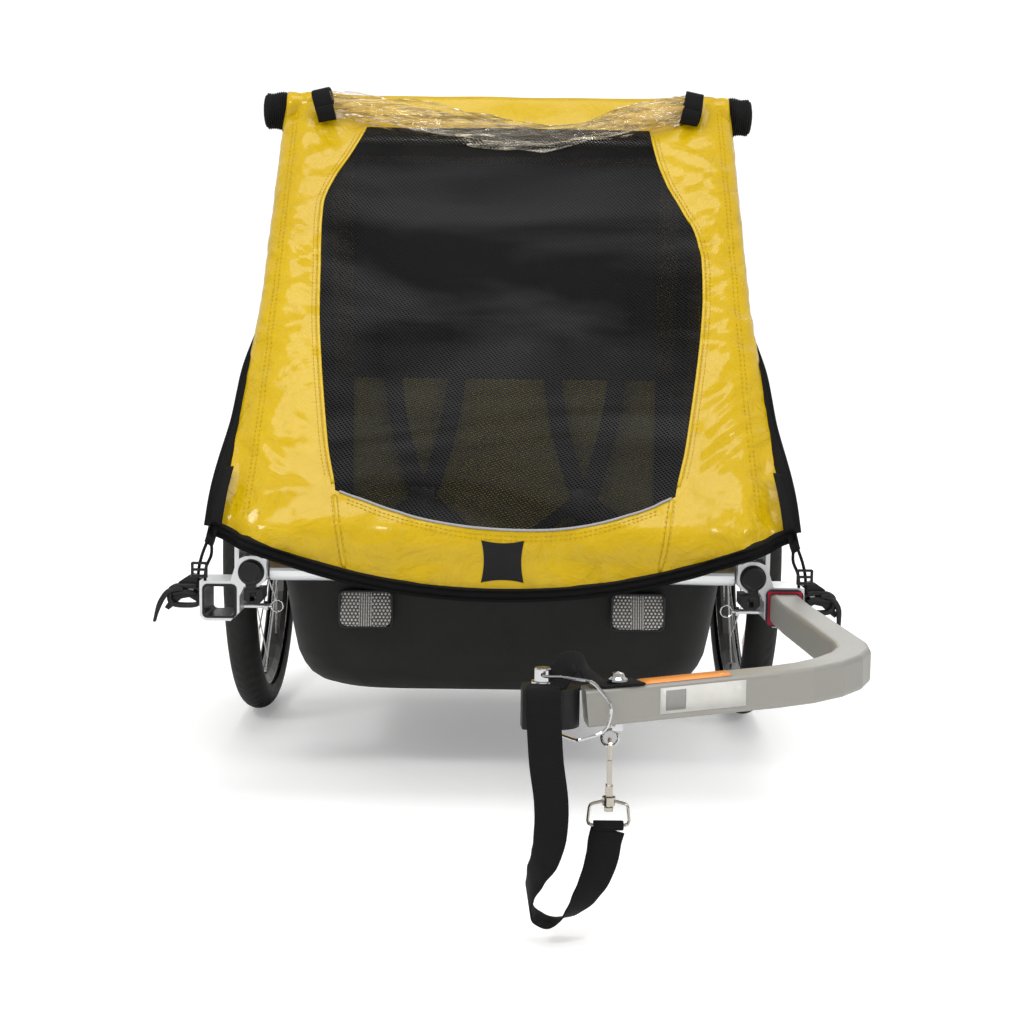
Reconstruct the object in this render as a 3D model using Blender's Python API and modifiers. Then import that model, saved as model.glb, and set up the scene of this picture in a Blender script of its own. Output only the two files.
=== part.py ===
"""Child bicycle trailer: two side rails on two spoked wheels, a moulded floor tub, two folding side
hoops joined by two swinging crossbars, a fabric canopy, a sling seat, and a tow arm with a flexible
hitch.

Metres, +Z up, -Y is the direction of travel, +X is the trailer's own left. The origin is on the
ground, at the middle of the footprint. Every position below is stated with Y = 0 at the wheel axle;
the empty "trailer" carries the whole assembly to the origin."""

import math

import bmesh
import bpy
from mathutils import Matrix, Vector

# ---------------------------------------------------------------- driving dimensions
SIDES = {"left": 1, "right": -1}  # the sign of X on each side
AXLE_TO_ORIGIN = 0.3185  # how far the axle stands behind the footprint's middle
GAP = 0.0003  # clearance round tubes

# wheels
WHEEL_R = 0.247
WHEEL_X = 0.354  # the wheel's centre plane
HUB_END = 0.3925
AXLE_INNER_END = 0.2765

# side rails and the brackets on them
RAIL_X = 0.289
RAIL_Z = 0.270
RAIL_R = 0.015
RAIL_FRONT, RAIL_REAR = -0.530, 0.372
BRACKET_R = 0.0185  # the bracket's ring round the rail
BRACKET_FRONT, BRACKET_LEN = -0.545, 0.060
REAR_BRACKET_FRONT, REAR_BRACKET_LEN = 0.322, 0.045
FRONT_BRACKET_Y = BRACKET_FRONT + BRACKET_LEN / 2
REAR_BRACKET_Y = REAR_BRACKET_FRONT + REAR_BRACKET_LEN / 2
CROSS_R = 0.0125

# arm receiver under each front bracket: its centre from the rail's centre, then in place
RECEIVER_DX, RECEIVER_DZ = 0.0365, -0.0337
RECEIVER_X = RAIL_X + RECEIVER_DX
RECEIVER_Z = RAIL_Z + RECEIVER_DZ
RECEIVER_HALF = 0.023
LOCK_Y = BRACKET_FRONT + 0.036  # the lock pin's line, along X
LOCK_Z = RECEIVER_Z - 0.010

# side hoops and the bars between them
PIVOT_Z = RAIL_Z + 0.044  # the hoops' folding axis
HOOP_R = 0.0095
HOOP_TOP = 0.862
HOOP_FOOT_Y = {"front": FRONT_BRACKET_Y, "rear": 0.345}
HOOP_FRONT_TOP = -0.055
HOOP_REAR_TOP = {"left": 0.245, "right": 0.205}  # unequal, so the folding legs pass each other
BAR_R = 0.0095
BAR_Z = HOOP_TOP - 0.026  # the bars run under the hoops' top tubes
ROOF_BAR_Y, SEAT_BAR_Y = -0.010, 0.140
CANOPY_X = 0.307

# tow arm, on the left, and its hitch
ARM = 0.0332  # square tube
HITCH = HITCH_X, HITCH_Y, HITCH_Z = 0.037, -0.990, 0.212
ARM_END_X = HITCH_X + 0.0375
ARM_BEND_X, ARM_BEND_Y = RECEIVER_X + 0.0105, -0.965
ARM_RISE = 0.025  # the front run climbs this much from the hitch to the outer bend

# strap bolt, through the middle of the arm's front run
BOLT_X = 0.1035
BOLT_SHARE = (BOLT_X - ARM_END_X) / (ARM_BEND_X - ARM_END_X)
BOLT_Y = HITCH_Y + BOLT_SHARE * (ARM_BEND_Y - HITCH_Y)
BOLT_Z = HITCH_Z + BOLT_SHARE * ARM_RISE
BOLT = (BOLT_X, BOLT_Y, BOLT_Z)
EYE_R = 0.0075
EYE = (BOLT_X - 0.006, BOLT_Y, BOLT_Z - 0.0240 - EYE_R)
SNAP = (EYE[0], EYE[1], EYE[2] - EYE_R)  # the eye's lowest point, where the snap hook hangs

# seat sling's front face, as (Y, Z)
SLING_FOOT, SLING_TOP = (0.0640, 0.1850), (0.1450, 0.6300)

# turns for flat outlines: drawn in X, Z and thick along Y; drawn in Y, Z and thick along X
XZ_TO_Y = Matrix(((1, 0, 0, 0), (0, 0, -1, 0), (0, 1, 0, 0), (0, 0, 0, 1)))
YZ_TO_X = Matrix(((0, 0, 1, 0), (1, 0, 0, 0), (0, 1, 0, 0), (0, 0, 0, 1)))
FLAT = Matrix.Identity(4)


# ---------------------------------------------------------------- scene and materials
def collection(name):
    made = bpy.data.collections.new(name)
    bpy.context.scene.collection.children.link(made)
    return made


def material(name, colour, roughness, metallic=0.0):
    made = bpy.data.materials.new(name)
    made.use_nodes = True
    shader = made.node_tree.nodes["Principled BSDF"]
    shader.inputs["Base Color"].default_value = (*colour, 1)
    shader.inputs["Roughness"].default_value = roughness
    shader.inputs["Metallic"].default_value = metallic
    return made


for old in list(bpy.data.objects):
    bpy.data.objects.remove(old, do_unlink=True)

PARTS = collection("child_bicycle_trailer")
CUTTERS = collection("cutters")
CUTTERS.hide_render = True
ROOT = bpy.data.objects.new("trailer", None)
ROOT.location = (0, AXLE_TO_ORIGIN, 0)
PARTS.objects.link(ROOT)

ALU = material("satin_aluminium", colour=(0.62, 0.63, 0.64), roughness=0.38, metallic=0.9)
ARM_PAINT = material("grey_painted_tube", colour=(0.40, 0.385, 0.34), roughness=0.45, metallic=0.2)
BLACK = material("black_plastic", colour=(0.02, 0.02, 0.021), roughness=0.55)
TUB = material("tub_plastic", colour=(0.025, 0.025, 0.025), roughness=0.6)
RUBBER = material("rubber", colour=(0.018, 0.018, 0.018), roughness=0.8)
YELLOW = material("yellow_fabric", colour=(0.85, 0.60, 0.02), roughness=0.4)
WEB = material("black_webbing", colour=(0.012, 0.012, 0.013), roughness=0.85)
CLEAR = material("clear_vinyl", colour=(0.75, 0.72, 0.66), roughness=0.1)
CHROME = material("plated_steel", colour=(0.78, 0.78, 0.78), roughness=0.15, metallic=1.0)
RED = material("red_seal", colour=(0.45, 0.02, 0.04), roughness=0.5)
LENS = material("reflector_lens", colour=(0.62, 0.60, 0.58), roughness=0.2)
RIM = material("rim_alloy", colour=(0.35, 0.34, 0.33), roughness=0.3, metallic=0.9)


# ---------------------------------------------------------------- outlines and paths
def rounded(width, height, radius, steps, x=0.0, y=0.0):
    """A rounded rectangle's outline about (x, y), counter-clockwise."""
    out = []
    for k, (sign_x, sign_y) in enumerate(((1, 1), (-1, 1), (-1, -1), (1, -1))):
        for i in range(steps + 1):
            angle = math.pi / 2 * (k + i / steps)
            out.append((
                x + sign_x * (width / 2 - radius) + radius * math.cos(angle),
                y + sign_y * (height / 2 - radius) + radius * math.sin(angle),
            ))
    return out


def turn_angles(count):
    return [math.tau * i / count for i in range(count)]


def circle(radius, count, x=0.0):
    return [(x + radius * math.cos(a), radius * math.sin(a)) for a in turn_angles(count)]


def arc(radius, start, step, count, x=0.0):
    """Points on an arc about (x, 0); the angles are in degrees."""
    angles = [math.radians(start + step * i) for i in range(count)]
    return [(x + radius * math.cos(a), radius * math.sin(a)) for a in angles]


def mirrored(points, sign):
    return [(sign * x, z) for x, z in points]


def shifted(base, offsets):
    """Offsets from a base point, as positions."""
    return [tuple(start + step for start, step in zip(base, offset)) for offset in offsets]


def fillet(points, radii, steps=5):
    """A polyline whose inner corners are rounded."""
    points = [Vector(p) for p in points]
    out = [points[0]]
    for before, corner, after, radius in zip(points, points[1:], points[2:], radii):
        back = (before - corner).normalized()
        ahead = (after - corner).normalized()
        half = back.angle(ahead) / 2
        reach = radius / math.tan(half)
        centre = corner + (back + ahead).normalized() * radius / math.sin(half)
        start = corner + back * reach - centre
        end = corner + ahead * reach - centre
        total = start.angle(end)
        for k in range(steps + 1):
            t = k / steps
            swept = start * math.sin((1 - t) * total) + end * math.sin(t * total)
            out.append(centre + swept / math.sin(total))
    out.append(points[-1])
    return out


# ---------------------------------------------------------------- solids
def relink(obj, target):
    for held in list(obj.users_collection):
        held.objects.unlink(obj)
    target.objects.link(obj)


def home(obj, finish):
    """Puts an object among the parts, under the trailer's empty, with its material."""
    relink(obj, PARTS)
    obj.parent = ROOT
    obj.data.materials.clear()
    obj.data.materials.append(finish)
    return obj


def mesh_object(name, shape):
    """A mesh object, in no collection yet, from a bmesh whose normals are turned outwards."""
    mesh = bpy.data.meshes.new(name)
    bmesh.ops.recalc_face_normals(shape, faces=shape.faces)
    if shape.calc_volume(signed=True) < 0:
        bmesh.ops.reverse_faces(shape, faces=shape.faces)
    shape.to_mesh(mesh)
    shape.free()
    return bpy.data.objects.new(name, mesh)


def skin(shape, rings, closed):
    """Joins equal-length rings of points with quads and returns the rings' vertices."""
    rows = [[shape.verts.new(p) for p in ring] for ring in rings]
    count = len(rows[0])
    for row, after in zip(rows, rows[1:]):
        for i in range(count if closed else count - 1):
            k = (i + 1) % count
            shape.faces.new((row[i], row[k], after[k], after[i]))
    return rows


def smooth(obj, angle=35):
    obj.data.shade_smooth()
    obj.data.set_sharp_from_angle(angle=math.radians(angle))
    return obj


def bevel(obj, width, segments):
    mod = obj.modifiers.new("edges", "BEVEL")
    mod.width = width
    mod.segments = segments
    mod.limit_method = "ANGLE"
    return mod


def solidify(obj, name, thickness, offset=0.0):
    mod = obj.modifiers.new(name, "SOLIDIFY")
    mod.thickness = thickness
    mod.offset = offset
    return mod


def box(name, corner, opposite, finish):
    """A box between two opposite corners, given in any order."""
    bpy.ops.mesh.primitive_cube_add(size=1)
    obj = bpy.context.object
    obj.name = name
    size = [abs(b - a) for a, b in zip(corner, opposite)]
    obj.data.transform(Matrix.Diagonal((*size, 1)))
    obj.location = [(a + b) / 2 for a, b in zip(corner, opposite)]
    return home(obj, finish)


def cylinder(name, start, end, radius, finish, sides=20):
    start, end = Vector(start), Vector(end)
    line = end - start
    bpy.ops.mesh.primitive_cylinder_add(vertices=sides, radius=radius, depth=line.length)
    obj = bpy.context.object
    obj.name = name
    obj.rotation_mode = "QUATERNION"
    obj.rotation_quaternion = line.to_track_quat("Z", "Y")
    obj.location = (start + end) / 2
    return smooth(home(obj, finish))


def turned(name, profile, place, axis, finish, steps=20):
    """A closed (radius, height) profile turned about the axis through a place."""
    shape = bmesh.new()
    verts = [shape.verts.new((radius, 0, height)) for radius, height in profile]
    for vert, after in zip(verts, verts[1:] + verts[:1]):
        shape.edges.new((vert, after))
    mesh = bpy.data.meshes.new(name)
    shape.to_mesh(mesh)
    shape.free()
    obj = bpy.data.objects.new(name, mesh)
    mod = obj.modifiers.new("turn", "SCREW")
    mod.axis = "Z"
    mod.angle = math.tau
    mod.steps = mod.render_steps = steps
    mod.use_merge_vertices = True
    mod.merge_threshold = 0.00005
    # the profile's winding decides which way the turned faces look
    area = sum(a[0] * b[1] - b[0] * a[1] for a, b in zip(profile, profile[1:] + profile[:1]))
    mod.use_normal_flip = area > 0
    obj.rotation_mode = "QUATERNION"
    obj.rotation_quaternion = Vector(axis).to_track_quat("Z", "Y")
    obj.location = place
    return home(obj, finish)


def tube(name, start, end, radius, wall, finish, steps=24):
    """A straight tube, open at both ends."""
    start, end = Vector(start), Vector(end)
    length = (end - start).length
    bore = radius - wall
    profile = [(radius, 0), (radius, length), (bore, length), (bore, 0)]
    return turned(name, profile, start, end - start, finish, steps)


def cross_tube(name, half, y, z, radius, wall, steps=24):
    """A tube across the trailer, reaching the same distance to both sides."""
    return tube(name, (-half, y, z), (half, y, z), radius, wall, ALU, steps)


def add_spline(data, points, cyclic=True):
    spline = data.splines.new("POLY")
    spline.points.add(len(points) - 1)
    for point, place in zip(spline.points, points):
        point.co = (*Vector(place).to_3d(), 1)
    spline.use_cyclic_u = cyclic


def wire(name, points, radius, finish, cyclic=False, resolution=3):
    """A solid rod along points, as a curve with filled caps."""
    data = bpy.data.curves.new(name, "CURVE")
    data.dimensions = "3D"
    data.bevel_depth = radius
    data.bevel_resolution = resolution
    data.use_fill_caps = True
    add_spline(data, points, cyclic)
    return home(bpy.data.objects.new(name, data), finish)


def wire_ring(name, centre, radius, wire_radius, count, sign=1):
    """A wire ring in the XZ plane, started on the side that the sign of X gives."""
    offsets = [
        (sign * radius * math.cos(a), 0, radius * math.sin(a)) for a in turn_angles(count)
    ]
    points = shifted(centre, offsets)
    return wire(name, points, wire_radius, CHROME, cyclic=True, resolution=1)


def plate(name, outlines, thickness, finish, place, turn=XZ_TO_Y):
    """Flat outlines, the first the edge and the others holes, with thickness across them."""
    data = bpy.data.curves.new(name, "CURVE")
    data.dimensions = "2D"
    data.fill_mode = "BOTH"
    data.extrude = thickness / 2
    for outline in outlines:
        add_spline(data, outline)
    obj = home(bpy.data.objects.new(name, data), finish)
    obj.matrix_basis = Matrix.Translation(place) @ turn
    return obj


def to_mesh(obj):
    """Turns a curve, or a mesh with modifiers, into a plain closed mesh with welded caps."""
    bpy.context.view_layer.update()
    graph = bpy.context.evaluated_depsgraph_get()
    mesh = bpy.data.meshes.new_from_object(obj.evaluated_get(graph))
    shape = bmesh.new()
    shape.from_mesh(mesh)
    bmesh.ops.remove_doubles(shape, verts=shape.verts, dist=0.00001)
    bmesh.ops.recalc_face_normals(shape, faces=shape.faces)
    shape.to_mesh(mesh)
    shape.free()
    name = obj.name
    basis = obj.matrix_basis.copy()
    finish = obj.data.materials[0]
    bpy.data.objects.remove(obj, do_unlink=True)
    made = bpy.data.objects.new(name, mesh)
    made.matrix_basis = basis
    return home(made, finish)


def combine(obj, *others, operation="DIFFERENCE"):
    """Cuts the others from the object, or joins them to it, with exact Booleans."""
    for i, other in enumerate(others):
        if other.type != "MESH":
            other = to_mesh(other)
        relink(other, CUTTERS)
        other.name = f"{obj.name}_tool_{operation[:3].lower()}_{len(obj.modifiers)}_{i}"
        other.hide_render = True
        other.display_type = "WIRE"
        mod = obj.modifiers.new(f"{operation.lower()}_{i}", "BOOLEAN")
        mod.operation = operation
        mod.solver = "EXACT"
        mod.object = other


# ---------------------------------------------------------------- base frame
# bracket outline as (X outboard, Z) from the rail's centre
INNER_FLANGE = [
    (-0.0185, 0.030), (-0.0140, 0.030), (-0.0140, 0.0155),
    (-0.0070, 0.0185), (0.0, 0.0190), (0.0070, 0.0185),
]
OUTER_FLANGE = [(0.0140, 0.0155), (0.0140, 0.060), (0.0190, 0.052), (0.0190, 0.0050)]

# rail cap as (radius, height), then its guide and the guide's slot as (X outboard, Z)
CAP_PROFILE = [
    (0.0, 0.0), (0.0146, 0.0), (0.0146, 0.0135), (0.0124, 0.0135), (0.0124, 0.034), (0.0, 0.034),
]
GUIDE = [
    (-0.0135, -0.0195), (0.0080, -0.0195), (0.0080, -0.031),
    (0.0020, -0.037), (-0.0090, -0.037), (-0.0135, -0.032),
]
GUIDE_SLOT = [(-0.0060, -0.0225), (0.0010, -0.0225), (0.0010, -0.0330), (-0.0060, -0.0330)]


def bracket_outline(sign, with_receiver):
    """Corner extrusion: ring, two hinge flanges and, at the front, the arm receiver."""
    outline = INNER_FLANGE + OUTER_FLANGE
    if with_receiver:
        x, z, half = RECEIVER_DX, RECEIVER_DZ, RECEIVER_HALF
        outline = outline + [
            (0.0240, z + half), (x + half, z + half), (x + half, z - half + 0.006),
            (x + half - 0.006, z - half), (x - half + 0.010, z - half),
            (x - half, z - half + 0.010), (x - half, z + 0.006),
        ]
        ring_points = 8
    else:
        outline = outline + [(0.0190, -0.0080)]
        ring_points = 10
    underside = arc(BRACKET_R, start=205, step=13, count=ring_points)
    return mirrored(outline + underside[::-1], sign)


def build_rail(side, sign):
    x = sign * RAIL_X
    start, end = (x, RAIL_FRONT, RAIL_Z), (x, RAIL_REAR, RAIL_Z)
    tube(f"side_rail_{side}", start, end, RAIL_R, 0.002, ALU, 28)


def build_brackets(side, sign):
    """Both brackets on a rail, and the plastic liner inside the front one's receiver."""
    x = sign * RAIL_X
    bore = circle(RAIL_R + GAP, 28)
    socket = rounded(0.040, 0.040, 0.006, 3, sign * RECEIVER_DX, RECEIVER_DZ)
    outlines = [bracket_outline(sign, True), bore, socket]
    place = (x, FRONT_BRACKET_Y, RAIL_Z)
    front = plate(f"front_bracket_{side}", outlines, BRACKET_LEN, ALU, place)
    outlines = [bracket_outline(sign, False), bore]
    place = (x, REAR_BRACKET_Y, RAIL_Z)
    plate(f"rear_bracket_{side}", outlines, REAR_BRACKET_LEN, ALU, place)

    bore = ARM + 0.0010
    outlines = [rounded(0.0394, 0.0394, 0.0057, 3), rounded(bore, bore, 0.0045, 3)]
    place = (sign * RECEIVER_X, FRONT_BRACKET_Y, RECEIVER_Z)
    liner = plate(f"receiver_liner_{side}", outlines, BRACKET_LEN + 0.003, BLACK, place)

    # the lock pin comes through the inboard wall, below the rail
    start = (sign * (RAIL_X + 0.004), LOCK_Y, LOCK_Z)
    end = (sign * (RECEIVER_X - 0.010), LOCK_Y, LOCK_Z)
    for part in (front, liner):
        combine(to_mesh(part), cylinder("pin_bore", start, end, 0.0034, BLACK, 16))


def build_rail_cap(side, sign):
    """Plug in the rail's front mouth, with the strap guide that hangs below the bracket."""
    x = sign * RAIL_X
    face = BRACKET_FRONT - 0.0035
    cap = turned(f"rail_cap_{side}", CAP_PROFILE, (x, face, RAIL_Z), (0, 1, 0), BLACK, 24)
    cap = to_mesh(cap)
    outlines = [mirrored(GUIDE, sign), mirrored(GUIDE_SLOT, sign)]
    guide = plate(f"guide_{side}", outlines, 0.040, BLACK, (x, BRACKET_FRONT + 0.0155, RAIL_Z))
    low = (x - 0.0060, face, RAIL_Z - 0.022)
    high = (x + 0.0060, BRACKET_FRONT - 0.0008, RAIL_Z - 0.006)
    neck = box(f"neck_{side}", low, high, BLACK)
    combine(cap, guide, neck, operation="UNION")


def build_receiver_gasket():
    """Seal in front of the left receiver, where the arm goes in."""
    bore = ARM + 0.0012
    outlines = [rounded(0.0430, 0.0430, 0.0070, 3), rounded(bore, bore, 0.0043, 3)]
    place = (RECEIVER_X, BRACKET_FRONT - 0.0034, RECEIVER_Z)
    plate("receiver_gasket", outlines, 0.0030, RED, place)


def build_cross_tubes():
    half = RAIL_X - BRACKET_R - GAP
    cross_tube("front_crossbar", half, FRONT_BRACKET_Y, RAIL_Z, CROSS_R, 0.002)
    cross_tube("rear_crossbar", half, REAR_BRACKET_Y, RAIL_Z, CROSS_R, 0.002)
    half = RAIL_X - RAIL_R - 0.0006
    cross_tube("seat_crossbar", half, -0.112, RAIL_Z + 0.001, 0.0095, 0.0018, steps=20)


def build_axle_block(side, sign):
    """Block under the rail, bored for the wheel's axle."""
    half_len = 0.024
    inner = (sign * (RAIL_X - 0.017), -half_len, WHEEL_R - 0.017)
    outer = (sign * (RAIL_X + 0.0195), half_len, RAIL_Z - RAIL_R - 0.0008)
    block = box(f"axle_block_{side}", inner, outer, ALU)
    bevel(block, width=0.003, segments=2)
    bore_z = WHEEL_R - 0.0002
    start, end = (sign * 0.270, 0, bore_z), (sign * 0.340, 0, bore_z)
    combine(block, cylinder("axle_bore", start, end, 0.0065, BLACK))


# ---------------------------------------------------------------- floor tub
# tub rings from the lip down: half width, front Y, rear Y, Z, corner radius
TUB_RINGS = [
    (0.2690, -0.4985, 0.3290, RAIL_Z - 0.0150, 0.040),
    (0.2540, -0.4850, 0.3160, RAIL_Z - 0.0155, 0.040),
    (0.2460, -0.4740, 0.3040, 0.190, 0.045),
    (0.2370, -0.4600, 0.2900, 0.140, 0.050),
    (0.2250, -0.4450, 0.2750, 0.117, 0.050),
    (0.2010, -0.4200, 0.2500, 0.106, 0.045),
]


def build_floor_tub():
    """One moulded shell, open at the top."""
    rings = []
    for half, front, rear, z, radius in TUB_RINGS:
        outline = rounded(2 * half, rear - front, radius, 4, 0, (front + rear) / 2)
        rings.append([(x, y, z) for x, y in outline])
    shape = bmesh.new()
    rows = skin(shape, rings, closed=True)
    shape.faces.new(rows[-1])
    tub = home(mesh_object("floor_tub", shape), TUB)
    solidify(tub, "wall", thickness=0.0035).use_even_offset = True
    smooth(tub, 50)


def build_front_reflector(side, sign):
    """Lens that leans with the tub's front wall."""
    turn = Matrix.Rotation(math.radians(-12.5), 4, "X") @ XZ_TO_Y
    outline = rounded(0.060, 0.042, 0.008, 3)
    place = (sign * 0.161, -0.4930, 0.2215)
    plate(f"front_reflector_{side}", [outline], 0.007, LENS, place, turn)


# ---------------------------------------------------------------- side hoops and bars
# (radius, height outboard)
PAD_PROFILE = [
    (0.0, 0.0), (0.0215, 0.0), (0.0230, 0.004), (0.0225, 0.013),
    (0.0235, 0.022), (0.0215, 0.031), (0.0150, 0.0370), (0.0, 0.0375),
]


def build_hoop(side, sign):
    """Side hoop, foot to foot, with a trunnion on the folding axis at each foot."""
    x = sign * RAIL_X
    foot_z = PIVOT_Z + 0.012
    corners = [
        (x, HOOP_FOOT_Y["front"], foot_z),
        (x, HOOP_FRONT_TOP, HOOP_TOP),
        (x, HOOP_REAR_TOP[side], HOOP_TOP),
        (x, HOOP_FOOT_Y["rear"], foot_z),
    ]
    hoop = to_mesh(wire(f"hoop_{side}", fillet(corners, [0.055, 0.055], 6), HOOP_R, BLACK))
    half = 0.021
    for end, y in HOOP_FOOT_Y.items():
        start, stop = (x, y - half, PIVOT_Z), (x, y + half, PIVOT_Z)
        trunnion = cylinder(f"trunnion_{end}", start, stop, 0.0125, BLACK)
        combine(hoop, trunnion, operation="UNION")


def build_bar(name, y, finish):
    """Loose bar whose two cradles push up under the hoops' top tubes."""
    half = RAIL_X - 0.006
    bar = to_mesh(wire(name, [(-half, y, BAR_Z), (half, y, BAR_Z)], BAR_R, finish))
    for sign in SIDES.values():
        inner = (sign * (RAIL_X - 0.0150), y - 0.0120, BAR_Z - 0.0110)
        outer = (sign * (RAIL_X + 0.0135), y + 0.0120, HOOP_TOP - 0.0035)
        cradle = box("cradle", inner, outer, BLACK)
        x = sign * RAIL_X
        start, end = (x, y - 0.02, HOOP_TOP), (x, y + 0.02, HOOP_TOP)
        bore = cylinder("cradle_bore", start, end, HOOP_R + GAP, finish, 24)
        combine(bar, cradle, operation="UNION")
        combine(bar, bore)


def build_corner_pad(side, sign):
    """Pad outside the canopy at the hoop's front top corner."""
    place = (sign * (CANOPY_X + 0.0015), HOOP_FRONT_TOP + 0.012, HOOP_TOP + 0.004)
    turned(f"corner_pad_{side}", PAD_PROFILE, place, (sign, 0, 0), RUBBER)


# ---------------------------------------------------------------- wheels on quick-release axles
# Profiles are (radius, distance outboard of the wheel's centre plane).
# one side of the tyre: down the outside from the tread to the bead, and back up the inside
TYRE_HALF = [
    (WHEEL_R, 0.0), (WHEEL_R - 0.0020, 0.0105), (WHEEL_R - 0.0085, 0.0185),
    (WHEEL_R - 0.0175, 0.0220), (WHEEL_R - 0.0265, 0.0190), (0.2140, 0.0128),
    (0.2190, 0.0126), (0.2230, 0.0150), (WHEEL_R - 0.0175, 0.0185),
    (WHEEL_R - 0.0100, 0.0150), (WHEEL_R - 0.0050, 0.0085), (WHEEL_R - 0.0038, 0.0),
]
RIM_PROFILE = [
    (0.2080, -0.0120), (0.2180, -0.0120), (0.2180, -0.0108), (0.2098, -0.0108),
    (0.2098, -0.0060), (0.2040, -0.0040), (0.2040, 0.0040), (0.2098, 0.0060),
    (0.2098, 0.0108), (0.2180, 0.0108), (0.2180, 0.0120), (0.2080, 0.0120),
    (0.1990, 0.0060), (0.1990, -0.0060),
]
# a barrel with two flanges
HUB_PROFILE = [
    (0.0100, -0.0300), (0.0165, -0.0300), (0.0165, -0.0240), (0.0290, -0.0235),
    (0.0290, -0.0205), (0.0140, -0.0160), (0.0130, 0.0), (0.0140, 0.0160),
    (0.0290, 0.0205), (0.0290, 0.0235), (0.0165, 0.0240), (0.0165, 0.0300), (0.0100, 0.0300),
]
AXLE_REACH = WHEEL_X - AXLE_INNER_END
AXLE_PROFILE = [
    (0.0, -AXLE_REACH), (0.0050, -AXLE_REACH), (0.0062, -AXLE_REACH + 0.002),
    (0.0062, 0.0305), (0.0125, 0.0312), (0.0125, 0.0365), (0.0086, 0.0365),
    (0.0086, 0.0325), (0.0, 0.0325),
]
BUTTON_END = HUB_END - WHEEL_X
BUTTON_PROFILE = [
    (0.0, 0.0358), (0.0080, 0.0358), (0.0080, BUTTON_END - 0.001),
    (0.0068, BUTTON_END), (0.0, BUTTON_END),
]

SPOKES = 20
SPOKE_R = 0.0011
SPOKE_OUTER_END, SPOKE_INNER_END = 0.1978, 0.0255  # radii of the spokes' ends
SPOKE_FLANGE_X = 0.0220
SPOKE_RIM_SHARE = 0.12  # the part of the flange's offset that is left at the rim
SPOKE_SWING = math.radians(62)  # how far a spoke's inner end is turned from its outer end
SPOKE_SHIFT = 0.0012  # keeps crossing spokes apart


def spoke_lacing(side, centre):
    """All spokes of a wheel; flanges alternate, and pairs lean alternately."""
    shape = bmesh.new()
    for k in range(SPOKES):
        flange = SPOKE_FLANGE_X if k % 2 else -SPOKE_FLANGE_X
        lean = 1 if (k // 2) % 2 else -1
        turn = math.tau * k / SPOKES
        swung = turn + lean * SPOKE_SWING
        inner = Vector((
            flange + lean * SPOKE_SHIFT,
            SPOKE_INNER_END * math.cos(swung),
            SPOKE_INNER_END * math.sin(swung),
        ))
        outer = Vector((
            flange * SPOKE_RIM_SHARE,
            SPOKE_OUTER_END * math.cos(turn),
            SPOKE_OUTER_END * math.sin(turn),
        ))
        line = outer - inner
        made = bmesh.ops.create_cone(
            shape, cap_ends=True, segments=5, radius1=SPOKE_R, radius2=SPOKE_R, depth=line.length
        )
        tilt = line.to_track_quat("Z", "Y").to_matrix().to_4x4()
        place = Matrix.Translation((inner + outer) / 2) @ tilt
        bmesh.ops.transform(shape, matrix=place, verts=made["verts"])
    laced = mesh_object(f"spokes_{side}", shape)
    laced.location = centre
    laced.parent = ROOT
    return laced


def build_wheel(side, sign):
    centre = Vector((sign * WHEEL_X, 0, WHEEL_R))
    axis = Vector((sign, 0, 0))
    tyre = TYRE_HALF + [(radius, -out) for radius, out in TYRE_HALF[-2:0:-1]]
    turned(f"tyre_{side}", tyre, centre, axis, RUBBER, 36)
    turned(f"rim_{side}", RIM_PROFILE, centre, axis, RIM, 36)
    hub = to_mesh(turned(f"spoked_hub_{side}", HUB_PROFILE, centre, axis, BLACK))
    combine(hub, spoke_lacing(side, centre), operation="UNION")
    hub.modifiers[-1].use_self = True  # spokes may run into one another
    half = axis * 0.0290
    tube(f"hub_bearing_{side}", centre - half, centre + half, 0.0097, 0.0032, CHROME, 20)
    # the axle enters the frame block from outside; its head carries the release button
    turned(f"axle_{side}", AXLE_PROFILE, centre, axis, CHROME)
    turned(f"release_button_{side}", BUTTON_PROFILE, centre, axis, BLACK)


# ---------------------------------------------------------------- tow arm and receiver pins
# (radius, height inboard)
LOCK_PIN_PROFILE = [
    (0.0, 0.0), (0.0030, 0.0), (0.0030, 0.0300), (0.0055, 0.0300),
    (0.0055, 0.0340), (0.0022, 0.0350), (0.0022, 0.0385), (0.0, 0.0385),
]


def build_tow_arm():
    """Square tube from the left receiver forwards, then bent inwards to the hitch."""
    path = fillet(
        [
            (RECEIVER_X, -0.478, RECEIVER_Z),
            (RECEIVER_X, -0.620, RECEIVER_Z - 0.001),
            (ARM_BEND_X, ARM_BEND_Y, HITCH_Z + ARM_RISE),
            (ARM_END_X, HITCH_Y, HITCH_Z),
        ],
        [0.35, 0.098],
    )
    section = bpy.data.curves.new("arm_section", "CURVE")
    section.dimensions = "2D"
    add_spline(section, rounded(ARM, ARM, 0.0045, 3))
    guide = bpy.data.objects.new("arm_section_guide", section)
    CUTTERS.objects.link(guide)
    guide.hide_render = True
    arm = wire("tow_arm", path, 0.0, ARM_PAINT)
    arm.data.bevel_mode = "OBJECT"
    arm.data.bevel_object = guide
    arm.data.twist_mode = "Z_UP"
    arm = to_mesh(arm)
    bolt_ends = shifted(BOLT, [(0, 0, -0.03), (0, 0, 0.03)])
    lock_ends = [(RECEIVER_X - inset, LOCK_Y, LOCK_Z) for inset in (0.030, 0.004)]
    combine(
        arm,
        cylinder("bolt_hole", *bolt_ends, 0.0036, BLACK, 16),
        cylinder("lock_hole", *lock_ends, 0.0040, BLACK, 16),
    )


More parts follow.
